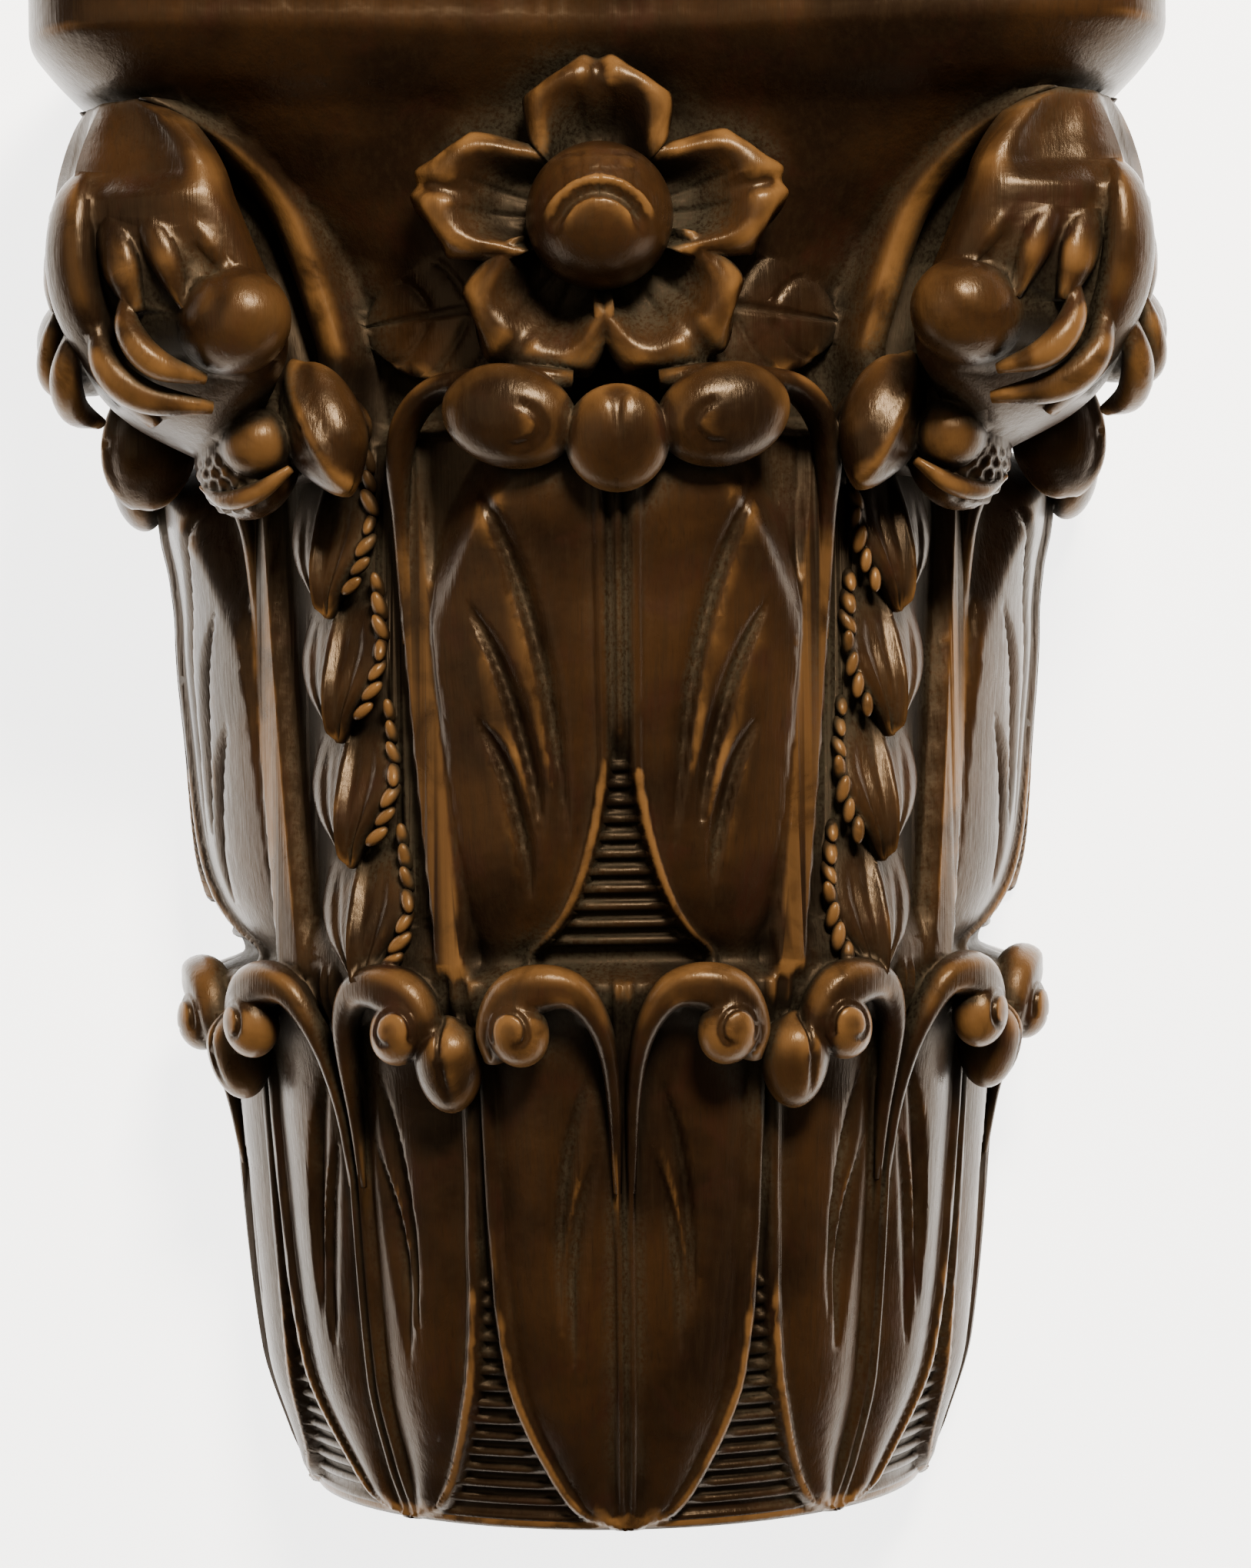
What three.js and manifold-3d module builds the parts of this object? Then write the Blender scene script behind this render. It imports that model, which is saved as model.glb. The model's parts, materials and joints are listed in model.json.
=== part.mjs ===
// A carved hardwood corbel: half of a leafed capital, cut from one block, with a flat back for a wall.
// Millimetres, +Z up. The back lies in the plane y = 0 and the carving faces -Y. The origin is the middle of the back.
// Angles are in degrees round the upright axis through the origin: 0 is the front, 90 is the wall at the +X side.

import * as THREE from "three";
import { mergeVertices } from "three/addons/utils/BufferGeometryUtils.js";
import Module from "manifold-3d";

// Driving dimensions: heights of the storeys, from the foot up
const lowerRowHeight = 149;
const upperRowHeight = 146;
const neckHeight = 84.5;
const fasciaHeight = 15.5;
const slabHeight = 15;

// Driving dimensions: distances from the axis
const footRadius = 88;
const lowerLipRadius = 115;
const bellRadius = 104;
const bandRadius = 116;
const upperLipRadius = 130;
const neckDepth = 108;
const abacusHalfWidth = 146;
const slabOverhang = 8;

// Driving dimensions: the carving
const leafPitch = 41;
const carvingTurn = 1.6;
const stripLean = 7;
const groundDepth = 4;
const stripDepth = 4;
const rimHeight = 1.5;
const hookRadius = 6.5;
const lobeRadius = 10.5;
const ballRadius = 18;
const petalReach = 30;
const berryRadius = 15.5;
const huskLength = 32;
const cornerLeafThickness = 15;
const cornerLobeRadius = 11;

// Levels that follow from the storeys
const totalHeight = lowerRowHeight + upperRowHeight + neckHeight + fasciaHeight + slabHeight;
const footLevel = -totalHeight / 2;
const rowLevel = footLevel + lowerRowHeight;
const neckLevel = rowLevel + upperRowHeight;
const fasciaLevel = neckLevel + neckHeight;
const slabLevel = fasciaLevel + fasciaHeight;
const topLevel = slabLevel + slabHeight;
const wallAngle = 90;
const cornerAngle = 45;

const wasm = await Module();
wasm.setup();

// Heights as shares of a storey
const low = (share) => footLevel + share * lowerRowHeight;
const up = (share) => rowLevel + share * upperRowHeight;
const neck = (share) => neckLevel + share * neckHeight;

// A value read from [place, value] pairs
function along(pairs, place) {
  if (place <= pairs[0][0]) return pairs[0][1];
  for (let i = 1; i < pairs.length; i += 1) {
    const [from, before] = pairs[i - 1];
    const [to, after] = pairs[i];
    if (place <= to) return before + ((after - before) * (place - from)) / (to - from);
  }
  return pairs[pairs.length - 1][1];
}

// The two carved rows stand turned a little to the right of the block's middle, and not at the wall
const turned = (angle) => angle + carvingTurn * (1 - (angle / wallAngle) ** 2);

// The upper row's strips lean: their feet draw in towards the front, by stripLean where they lean most
function leaned(angle, share) {
  const lean = stripLean * (1 - Math.min(1, Math.max(0, share))) ** 1.3;
  return turned(angle - lean * Math.sin((Math.PI * angle) / wallAngle));
}

function outward(angle) {
  const turn = THREE.MathUtils.degToRad(angle);
  return new THREE.Vector3(Math.sin(turn), -Math.cos(turn), 0);
}

function pointAt(angle, z, radius) {
  return outward(angle).multiplyScalar(radius).setZ(z);
}

// A closed solid from rings of points. Each ring runs anticlockwise seen against the direction of travel.
function loft(rings, tips) {
  const points = rings.flat();
  const count = rings[0].length;
  const faces = [];
  for (let i = 0; i + 1 < rings.length; i += 1) {
    for (let j = 0; j < count; j += 1) {
      const here = i * count + j;
      const next = i * count + ((j + 1) % count);
      faces.push(here, next, next + count, here, next + count, here + count);
    }
  }
  const last = (rings.length - 1) * count;
  const [startTip, endTip] = tips;
  points.push(startTip, endTip);
  for (let j = 0; j < count; j += 1) {
    const next = (j + 1) % count;
    faces.push(points.length - 2, next, j, points.length - 1, last + j, last + next);
  }
  const geometry = new THREE.BufferGeometry().setFromPoints(points);
  geometry.setIndex(faces);
  return geometry;
}

// A rounded lump on the body, with half sizes across, up and out, rolled in the plane of the face
function lump(angle, z, radius, across, high, out, roll = 0, columns = 8, rows = 5) {
  const normal = outward(angle);
  const side = new THREE.Vector3(-normal.y, normal.x, 0);
  const upright = new THREE.Vector3(0, 0, 1);
  const matrix = new THREE.Matrix4().makeRotationZ(THREE.MathUtils.degToRad(roll));
  matrix.multiply(new THREE.Matrix4().makeScale(across, high, out));
  matrix.premultiply(new THREE.Matrix4().makeBasis(side, upright, normal));
  matrix.setPosition(pointAt(angle, z, radius));
  return new THREE.SphereGeometry(1, columns, rows).applyMatrix4(matrix);
}

// A bar with rounded ends along a path of [angle, z, radius, half width, half depth] stations
function bar(stations, steps = stations.length - 1, sides = 5) {
  const curve = new THREE.CatmullRomCurve3(stations.map(([angle, z, radius]) => pointAt(angle, z, radius)));
  const rings = [];
  const tips = [];
  for (let i = 0; i <= steps; i += 1) {
    const place = i / steps;
    const station = place * (stations.length - 1);
    const width = along(stations.map((entry, k) => [k, entry[3]]), station);
    const depth = along(stations.map((entry, k) => [k, entry[4]]), station);
    const centre = curve.getPoint(place);
    const travel = curve.getTangent(place);
    const out = outward(along(stations.map((entry, k) => [k, entry[0]]), station));
    out.addScaledVector(travel, -out.dot(travel)).normalize();
    const side = new THREE.Vector3().crossVectors(out, travel);
    const ring = [];
    for (let j = 0; j < sides; j += 1) {
      const turn = (2 * Math.PI * j) / sides;
      const spot = centre.clone().addScaledVector(side, width * Math.cos(turn));
      ring.push(spot.addScaledVector(out, depth * Math.sin(turn)));
    }
    rings.push(ring);
    if (i === 0) tips.push(centre.clone().addScaledVector(travel, -0.5 * Math.min(width, depth)));
    if (i === steps) tips.push(centre.clone().addScaledVector(travel, 0.5 * Math.min(width, depth)));
  }
  return loft(rings, tips);
}

function solidOf(geometry) {
  const bare = geometry.clone();
  bare.deleteAttribute("normal");
  bare.deleteAttribute("uv");
  const merged = mergeVertices(bare, 1e-4);
  return new wasm.Manifold(
    new wasm.Mesh({
      numProp: 3,
      vertProperties: new Float32Array(merged.attributes.position.array),
      triVerts: new Uint32Array(merged.index.array),
    }),
  );
}

function geometryOf(solid) {
  const mesh = solid.getMesh();
  const geometry = new THREE.BufferGeometry();
  const positions = new Float32Array((mesh.vertProperties.length / mesh.numProp) * 3);
  for (let i = 0; i < positions.length / 3; i += 1) {
    for (let k = 0; k < 3; k += 1) positions[3 * i + k] = mesh.vertProperties[i * mesh.numProp + k];
  }
  geometry.setAttribute("position", new THREE.BufferAttribute(positions, 3));
  geometry.setIndex(new THREE.BufferAttribute(new Uint32Array(mesh.triVerts), 1));
  geometry.computeVertexNormals();
  return geometry;
}

// Distance of the lower leaves' face from the axis, by share of the lower row
const lowerFace = (share) => {
  const flare = along([[0, 0], [0.05, 0.06], [0.26, 0.42], [0.7, 0.667], [0.78, 0.7], [0.87, 0.82], [0.94, 1]], share);
  return footRadius + (lowerLipRadius - footRadius) * flare;
};

// Distance of the upper leaves' face from the axis, by share of the upper row
const upperFace = (share) => {
  const swells = [[0, -0.62], [0.04, -0.43], [0.075, -0.26], [0.11, -0.14], [0.185, 0.03], [0.36, 0.2], [0.6, 0.4]];
  const swell = along(swells, share);
  const flare = along([[0.6, 0], [0.7, 0.16], [0.78, 0.5], [0.84, 0.75], [0.9, 1]], share);
  const swollen = bandRadius + swell * (upperLipRadius - bandRadius);
  return swollen + flare * (upperLipRadius - swollen);
};

// Half the angle of a lower leaf: full above and drawn to a point at the foot
const lowerLeafHalf = (share) => {
  const halves = [[0, 0.1], [0.05, 0.5], [0.12, 0.67], [0.215, 0.82], [0.32, 0.9], [0.45, 0.94], [0.6, 0.96]];
  return (along(halves, share) * leafPitch) / 2;
};

// Half the angle of the ribbed field between two upper leaves: wide at its foot, then only a stem
const upperFieldHalf = (share) => {
  const halves = [[0, 0.74], [0.05, 0.5], [0.12, 0.28], [0.2, 0.17], [0.288, 0.09], [0.356, 0.06], [1, 0.06]];
  return (along(halves, share) * leafPitch) / 2;
};

// One half leaf of the lower row, as [angle from the midrib, distance from the leaf's face]
function lowerHalfLeaf(share) {
  const half = lowerLeafHalf(share);
  const stem = Math.min(0.032 * leafPitch, 0.3 * half);
  const rim = Math.min(0.06 * leafPitch, 0.3 * half);
  const depth = groundDepth * along([[0.7, 1], [0.9, 0.2]], share);
  return [
    [0, 0.4 * rimHeight],
    [stem, 0.8 * rimHeight],
    [(stem + half - rim) / 2, -rimHeight],
    [half - 0.5 * rim, 0.6 * rimHeight],
    [half, -depth],
    [leafPitch / 2, -depth],
  ];
}

// The upper row from a stem to the middle of the next husk strip, as [angle, distance from the leaf's face]
function upperHalfLeaf(share) {
  const field = upperFieldHalf(share);
  const open = along([[0.3, 1], [0.38, 0]], share);
  const bandInside = 0.62 * leafPitch;
  const bandOutside = 0.73 * leafPitch;
  const rimOutside = field + 0.04 * leafPitch;
  const reach = bandInside - rimOutside;
  const band = bandRadius - upperFace(share);
  const strip = band - stripDepth * along([[0, 0.3], [0.1, 1], [0.9, 1], [1, 0.3]], share);
  return [
    [0, -groundDepth * open],
    [field, open > 0.5 ? -groundDepth : rimHeight],
    [field + 0.02 * leafPitch, rimHeight],
    [rimOutside, -0.5 * rimHeight],
    [rimOutside + 0.35 * reach, rimHeight],
    [rimOutside + 0.75 * reach, 0.5 * rimHeight],
    [bandInside - 0.01 * leafPitch, band - rimHeight],
    [bandInside, band],
    [bandOutside, band],
    [bandOutside + 0.02 * leafPitch, strip],
    [leafPitch, strip],
  ];
}

// From half a leaf to the whole front, mirrored leaf by leaf out to the wall
function columnsOf(halfLeaf) {
  const pitchEnd = halfLeaf[halfLeaf.length - 1][0];
  const whole = [...halfLeaf];
  for (let i = halfLeaf.length - 2; i >= 0; i -= 1) whole.push([2 * pitchEnd - halfLeaf[i][0], halfLeaf[i][1]]);
  return whole;
}

function frontColumns(columns) {
  const edge = columns[columns.length - 1][0];
  const margin = (wallAngle - edge) / 2;
  const toWall = [1, 2].map((step) => [edge + step * margin, columns[1][1]]);
  const right = [...columns, ...toWall];
  const left = right.slice(1).reverse().map(([angle, offset]) => [-angle, offset]);
  return [...left, ...right];
}

// A level ring of the block: the carved front, then the middle of the wall side
function ringOf(stations, z) {
  return [...stations.map(([angle, radius]) => pointAt(angle, z, radius)), new THREE.Vector3(0, 0, z)];
}

function carvedRows() {
  const rings = [];
  for (const share of [0, 0.05, 0.12, 0.215, 0.32, 0.45, 0.6, 0.78, 0.87, 0.94, 0.965]) {
    const half = lowerHalfLeaf(share);
    const columns = columnsOf(columnsOf(half));
    const face = lowerFace(share);
    const stations = frontColumns(columns).map(([angle, offset]) => [turned(angle), face + offset]);
    rings.push(ringOf(stations, low(share)));
  }
  for (const share of [0, 0.05, 0.12, 0.2, 0.288, 0.356, 0.5, 0.65, 0.78, 0.86, 0.91]) {
    const columns = columnsOf(upperHalfLeaf(share));
    const face = upperFace(share);
    const stations = frontColumns(columns).map(([angle, offset]) => [leaned(angle, share), face + offset]);
    rings.push(ringOf(stations, up(share)));
  }
  return loftBlock(rings);
}

// The block's own loft closes on the middle of the wall side, which is the last point of each ring
function loftBlock(rings) {
  const ends = [rings[0], rings[rings.length - 1]].map((ring) => {
    const wallMiddle = ring[ring.length - 1];
    return new THREE.Vector3(wallMiddle.x, -bellRadius / 4, wallMiddle.z);
  });
  return loft(rings, ends);
}

// The square plan of the abacus with rounded corners and hollow sides, as a distance from the axis
function squarePlan(angle, halfWidth, hollow) {
  const turn = THREE.MathUtils.degToRad(angle);
  const roundness = 8;
  const sum = Math.abs(Math.sin(turn)) ** roundness + Math.abs(Math.cos(turn)) ** roundness;
  const dip = 1 - hollow * Math.cos(2 * turn) ** 2;
  return halfWidth * dip * sum ** (-1 / roundness);
}

// The bell above the leaves, which turns from round to square as it rises into the abacus
function bellAndAbacus() {
  const columns = 24;
  const between = (share) => neckDepth + share * (abacusHalfWidth - neckDepth);
  const levels = [
    [neck(-0.25), bellRadius, 0],
    [neck(0.05), neckDepth, 0],
    [neck(0.35), between(0.1), 0.2],
    [neck(0.6), between(0.32), 0.6],
    [neck(0.78), between(0.53), 0.9],
    [neck(0.88), between(0.76), 1],
    [neck(0.95), between(0.92), 1],
    [fasciaLevel, abacusHalfWidth, 1],
    [slabLevel, abacusHalfWidth, 1],
    [slabLevel + 0.25 * slabHeight, abacusHalfWidth + 0.75 * slabOverhang, 1],
    [slabLevel + 0.45 * slabHeight, abacusHalfWidth + slabOverhang, 1],
    [topLevel, abacusHalfWidth + slabOverhang, 1],
  ];
  const rings = levels.map(([z, reach, square]) => {
    const stations = [];
    for (let i = 0; i <= columns; i += 1) {
      const angle = -wallAngle + (2 * wallAngle * i) / columns;
      const flat = squarePlan(angle, reach, 0.11);
      stations.push([angle, reach + square * (flat - reach)]);
    }
    return ringOf(stations, z);
  });
  return loftBlock(rings);
}

// A lower leaf's top edge, rising from the midrib and curling over sideways into a thick ball
function lowerHook(stem, way) {
  const at = (turn) => turned(stem + way * turn * leafPitch);
  const reach = (lift) => lowerLipRadius + lift * hookRadius;
  const thick = (share) => share * hookRadius;
  return [
    bar(
      [
        [at(0.03), low(0.7), reach(-1.3), thick(0.25), thick(0.28)],
        [at(0.04), low(0.8), reach(-0.8), thick(0.35), thick(0.45)],
        [at(0.075), low(0.875), reach(-0.2), thick(0.5), thick(0.7)],
        [at(0.15), low(0.925), reach(0.15), thick(0.7), thick(0.85)],
        [at(0.25), low(0.935), reach(0.3), thick(0.85), thick(0.95)],
        [at(0.33), low(0.905), reach(0.3), thick(0.9), thick(1)],
      ],
      6,
    ),
    lump(at(0.33), low(0.88), reach(0.35), thick(1.08), thick(1.25), thick(1.08), 0, 7, 5),
  ];
}

// The tongue between two lower leaves, wide and round below
function lowerTongue(centre) {
  const thick = (share) => share * hookRadius;
  const level = 0.835;
  return lump(turned(centre), low(level), lowerFace(level) + thick(0.75), thick(1.32), thick(1.95), thick(1.5));
}

// The top of an upper leaf: an overhanging lip of two round lobes beside a tongue, swept down into the bands
function upperCurl(centre, ways) {
  const reach = (lift) => upperLipRadius + lift * lobeRadius;
  const thick = (share) => share * lobeRadius;
  const parts = [lump(turned(centre), up(0.86), reach(0.05), thick(1.15), thick(0.85), thick(0.6))];
  for (const way of ways) {
    const at = (turn) => turned(centre + way * turn * leafPitch);
    parts.push(lump(at(0.28), up(0.905), reach(-0.05), thick(1.05), thick(1.05), thick(0.78), 0, 10, 7));
    parts.push(
      bar(
        [
          [at(-0.02), up(0.93), reach(-0.45), thick(0.7), thick(0.6)],
          [at(0.18), up(0.945), reach(-0.3), thick(0.75), thick(0.75)],
          [at(0.38), up(0.955), reach(-0.35), thick(0.72), thick(0.75)],
          [at(0.54), up(0.94), reach(-0.5), thick(0.62), thick(0.65)],
          [at(0.64), up(0.87), bandRadius + thick(0.4), thick(0.42), thick(0.45)],
          [at(0.675), up(0.78), bandRadius + thick(0.05), thick(0.26), thick(0.24)],
          [at(0.675), up(0.68), bandRadius, thick(0.12), thick(0.1)],
        ],
        8,
      ),
    );
  }
  return parts;
}

// Four overlapping husks down the strip at a corner, each with its tip over the next
function huskChain(centre) {
  const parts = [];
  const reach = (lift) => bandRadius - stripDepth + lift * huskLength;
  const wide = (share) => share * huskLength;
  for (let i = 0; i < 4; i += 1) {
    const tip = up(0.62) - i * huskLength;
    const at = (rise) => leaned(centre, (tip + rise * huskLength - rowLevel) / upperRowHeight);
    parts.push(
      bar([
        [at(1.15), tip + 1.15 * huskLength, reach(-0.02), wide(0.3), wide(0.09)],
        [at(0.65), tip + 0.65 * huskLength, reach(0.02), wide(0.39), wide(0.13)],
        [at(0.25), tip + 0.25 * huskLength, reach(0.06), wide(0.27), wide(0.14)],
        [at(0), tip, reach(0.07), wide(0.05), wide(0.08)],
      ]),
    );
  }
  return parts;
}

function berryCluster(side) {
  const centre = side * leafPitch * 1.03;
  const z = neckLevel - 0.09 * upperRowHeight;
  const reach = (lift) => bandRadius + lift * berryRadius;
  const wide = (share) => share * berryRadius;
  const parts = [
    lump(centre, z, reach(1.2), wide(1.12), wide(1), wide(0.8), 0, 10, 7),
    lump(centre, z + wide(0.2), reach(0.3), wide(1.95), wide(0.8), wide(0.65)),
  ];
  for (const way of [-1, 1]) {
    const beside = centre + way * 0.34 * leafPitch;
    parts.push(lump(beside, z + wide(0.13), reach(0.7), wide(0.74), wide(1), wide(0.8), -18 * way));
  }
  return parts;
}

// The flower on the abacus: a ball, five petals round it and two flat leaves behind
function flower() {
  const z = neck(0.45);
  const reach = neckDepth + 1.2 * ballRadius;
  const parts = [lump(0, z, reach, ballRadius, ballRadius, ballRadius, 0, 12, 8)];
  for (const heading of [0, 79, 142, -146, -79]) {
    const heart = new THREE.Vector3(0, -(reach - ballRadius / 3), z);
    const turn = THREE.MathUtils.degToRad(heading);
    const ahead = (forward, across, out) => {
      const x = forward * Math.sin(turn) + across * Math.cos(turn);
      const rise = forward * Math.cos(turn) - across * Math.sin(turn);
      return heart.clone().add(new THREE.Vector3(x, -out, rise));
    };
    parts.push(petal(ahead));
  }
  const leafSize = [0.7 * petalReach, 0.57 * petalReach, 0.17 * petalReach];
  for (const side of [-1, 1]) parts.push(lump(side * 22, neck(0.24), neckDepth, ...leafSize, side * -14, 8, 6));
  return parts;
}

// A petal with a rolled edge: thin at the heart and thick at the rim, as shares of its reach
function petal(ahead) {
  const sections = [
    [0.35, 0.3, 0.1, -0.07],
    [0.7, 0.5, 0.12, -0.1],
    [1.05, 0.58, 0.2, 0],
    [1.32, 0.53, 0.22, 0.02],
    [1.5, 0.33, 0.15, -0.07],
  ];
  const placed = (forward, across, out) => ahead(forward * petalReach, across * petalReach, out * petalReach);
  const rings = sections.map(([forward, half, depth, lift]) => {
    const outline = [[-1, 0], [-0.7, 0.9], [0, 0.3], [0.7, 0.9], [1, 0], [0, -1.8]];
    return outline.map(([across, out]) => placed(forward, across * half, lift + out * depth));
  });
  return loft(rings, [placed(0.3, 0, -0.1), placed(1.54, 0, -0.13)]);
}

const middleOf = (ring) => ring.reduce((sum, spot) => sum.add(spot), new THREE.Vector3()).divideScalar(ring.length);

// A corner leaf: it rises up the bell, arches out under the abacus and hangs its lobed tip before a deep hollow.
// Each ring runs from the rising half's front border, round the hanging tip, to the border on the side face.
function cornerLeaf(side) {
  const cornerReach = squarePlan(cornerAngle, abacusHalfWidth, 0);
  const between = (share) => bandRadius + share * (cornerReach - bandRadius);
  const sections = [
    [-0.2, 0.027, 8.5, 0.054, 7, 0.86, 41.5],
    [0, 0.068, 9, 0.068, 6, 0.885, 37],
    [0.1, 0.082, 9.5, 0.082, 6, 0.925, 31.5],
    [0.22, 0.095, 9.5, 0.068, 6, 0.945, 30.5],
    [0.36, 0.136, 8.5, 0.095, 5, 0.96, 33],
    [0.5, 0.204, 7.5, 0.163, 4.5, 0.972, 37],
    [0.62, 0.354, 6, 0.313, 4, 0.962, 39.5],
    [0.74, 0.572, 5, 0.531, 3.5, 0.94, 41],
    [0.95, 0.74, 4, 0.7, 3.4, 0.86, 42.2],
  ];
  const rings = sections.map(([level, borderShare, borderAngle, hollowShare, coreAngle, share, fromAngle]) => {
    const z = neck(level);
    const border = between(borderShare);
    const hollow = between(hollowShare);
    const crown = pointAt(side * cornerAngle, z, squarePlan(cornerAngle, share * abacusHalfWidth, 0));
    const half = (way) => {
      const at = (fromCorner) => side * (cornerAngle + way * fromCorner);
      const outerAt = (angle) => squarePlan(angle, share * abacusHalfWidth, 0);
      const tipHalf = cornerAngle - fromAngle;
      return [
        pointAt(at(borderAngle), z, border - 1.6 * cornerLeafThickness),
        pointAt(at(borderAngle), z, border),
        pointAt(at(0.75 * borderAngle), z, border),
        pointAt(at(coreAngle), z, hollow),
        pointAt(at(Math.min(coreAngle, 0.9 * tipHalf)), z, outerAt(fromAngle) - cornerLeafThickness),
        pointAt(at(tipHalf), z, outerAt(fromAngle) - 0.8 * cornerLeafThickness),
        pointAt(at(tipHalf), z, outerAt(fromAngle)),
        pointAt(at(0.5 * tipHalf), z, outerAt(cornerAngle - 0.5 * tipHalf)),
      ];
    };
    return [...half(-1), crown, ...half(1).reverse()];
  });
  const ordered = side > 0 ? rings : rings.map((ring) => [...ring].reverse());
  const parts = [loft(ordered, [middleOf(ordered[0]), middleOf(ordered[ordered.length - 1])])];
  for (const way of [-1, 1]) {
    const at = (fromCorner) => side * (cornerAngle + way * fromCorner);
    const lobe = (share) => share * cornerLobeRadius;
    parts.push(lump(at(11.3), neck(0.18), between(0.565), lobe(1), lobe(1), lobe(1), 0, 8, 6));
    parts.push(lump(at(6.2), neck(0.11), between(0.71), lobe(0.73), lobe(0.86), lobe(0.73)));
    parts.push(lump(at(3.6), neck(0.36), between(0.825), lobe(0.55), lobe(1.9), lobe(0.55), -14 * way * side));
  }
  return parts;
}

function everythingBeyondTheWall() {
  const reach = 4 * abacusHalfWidth;
  const box = new THREE.BoxGeometry(reach, reach, 2 * totalHeight);
  return box.translate(0, reach / 2, 0);
}

function corbel() {
  const frontStems = [-leafPitch, 0, leafPitch];
  const parts = [carvedRows(), bellAndAbacus(), ...flower()];
  for (const stem of frontStems) for (const way of [-1, 1]) parts.push(...lowerHook(stem, way));
  for (const side of [-1, 1]) {
    parts.push(...lowerHook(2 * side * leafPitch, -side));
    parts.push(lowerTongue(0.55 * side * leafPitch), lowerTongue(1.5 * side * leafPitch));
    parts.push(...huskChain(side * leafPitch), ...berryCluster(side), ...cornerLeaf(side));
    parts.push(...upperCurl(2 * side * leafPitch, [-side]));
  }
  parts.push(...upperCurl(0, [-1, 1]));
  let block = solidOf(parts[0]);
  for (const part of parts.slice(1)) block = block.add(solidOf(part));
  return geometryOf(block.subtract(solidOf(everythingBeyondTheWall())));
}

const stainedWood = new THREE.MeshStandardMaterial({ color: "#4a2e18", roughness: 0.5, metalness: 0 });
const carving = new THREE.Mesh(corbel(), stainedWood);
carving.name = "corbel";

const group = new THREE.Group();
group.add(carving);
export default group;
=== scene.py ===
import json
import math

import bpy
import numpy as np
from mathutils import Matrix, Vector
from mathutils.bvhtree import BVHTree

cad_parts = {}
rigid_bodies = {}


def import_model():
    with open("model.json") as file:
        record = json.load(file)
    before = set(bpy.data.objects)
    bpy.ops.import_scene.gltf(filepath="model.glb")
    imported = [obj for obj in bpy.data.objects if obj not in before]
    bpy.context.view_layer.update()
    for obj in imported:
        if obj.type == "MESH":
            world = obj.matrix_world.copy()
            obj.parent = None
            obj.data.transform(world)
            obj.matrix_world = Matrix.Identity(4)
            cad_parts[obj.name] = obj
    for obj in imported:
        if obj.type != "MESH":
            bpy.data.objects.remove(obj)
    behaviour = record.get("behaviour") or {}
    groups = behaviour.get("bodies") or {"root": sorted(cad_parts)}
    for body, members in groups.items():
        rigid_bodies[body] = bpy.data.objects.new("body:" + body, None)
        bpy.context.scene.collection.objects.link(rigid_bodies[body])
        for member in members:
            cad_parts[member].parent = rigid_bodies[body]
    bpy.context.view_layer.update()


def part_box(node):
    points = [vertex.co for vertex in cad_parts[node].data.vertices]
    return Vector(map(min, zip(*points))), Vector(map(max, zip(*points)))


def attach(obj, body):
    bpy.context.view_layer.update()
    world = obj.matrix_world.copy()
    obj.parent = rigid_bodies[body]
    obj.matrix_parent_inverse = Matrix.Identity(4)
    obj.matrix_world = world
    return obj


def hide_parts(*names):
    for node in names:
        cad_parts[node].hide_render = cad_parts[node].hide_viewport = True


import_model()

# The carving is worked out in millimetres round the upright axis at the wall, and made into metres last.
# Angles are in degrees: 0 is the front, 90 is the wall on the right.
MM = 0.001
block_low, block_high = (np.array(corner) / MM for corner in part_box("corbel"))
FOOT = block_low[2]
TOP = block_high[2]

# Storeys, from the foot up
LOWER_ROW = 149.0
UPPER_ROW = 146.0
NECK = 84.5
FASCIA = 15.5
ROW = FOOT + LOWER_ROW
NECKING = ROW + UPPER_ROW
FASCIA_FOOT = NECKING + NECK
SLAB_FOOT = FASCIA_FOOT + FASCIA
SLAB = TOP - SLAB_FOOT

# Distances from the axis
FOOT_RADIUS = 88.0
LOWER_LIP = 115.0
BELL = 104.0
BAND = 116.0
UPPER_LIP = 130.0
NECK_DEPTH = 108.0
ABACUS = 146.0
OVERHANG = 8.0

# The carver's pattern
PITCH = 41.0
TURN = 1.6
LEAN = 7.0
GROUND = 4.2
STRIP = 4.5
RIB_PITCH = 4.4
FOOT_FACE = -1.8
HUSKS = 4
HUSK_STEP = 32.0
HUSK_TURN = math.radians(1.65)
CORNER = 45.0
WALL = 90.0

# Where the upper row's flat band begins and ends, as shares of the pitch from a stem
BAND_EDGE = 0.62
STRIP_EDGE = 0.735


def low(share):
    return FOOT + share * LOWER_ROW


def up(share):
    return ROW + share * UPPER_ROW


def neck(share):
    return NECKING + share * NECK


def turned(angle):
    """The carved rows stand a little to the right of the block's middle."""
    return angle + TURN * (1 - (np.asarray(angle) / WALL) ** 2)


def lean_at(share):
    return LEAN * (1 - np.clip(share, 0, 1)) ** 1.3


def leaned(angle, share):
    """The upper row's strips lean: their feet draw in towards the front."""
    return turned(angle - lean_at(share) * np.sin(np.pi * np.asarray(angle) / WALL))


def upright(angle, share):
    """The place in the upper row's pattern that leans to the given angle."""
    pattern = angle
    for _ in range(5):
        pattern = angle + lean_at(share) * np.sin(np.pi * pattern / WALL)
    return pattern


def outward(angle):
    turn = np.radians(angle)
    return np.stack([np.sin(turn), -np.cos(turn), np.zeros_like(turn)], axis=-1)


def spot(angle, z, radius):
    angle, z, radius = np.broadcast_arrays(*(np.asarray(v, float) for v in (angle, z, radius)))
    turn = np.radians(angle)
    return np.stack([radius * np.sin(turn), -radius * np.cos(turn), z], axis=-1)


def smooth_step(low_edge, high_edge, value):
    share = np.clip((value - low_edge) / (high_edge - low_edge), 0, 1)
    return share * share * (3 - 2 * share)


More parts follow.
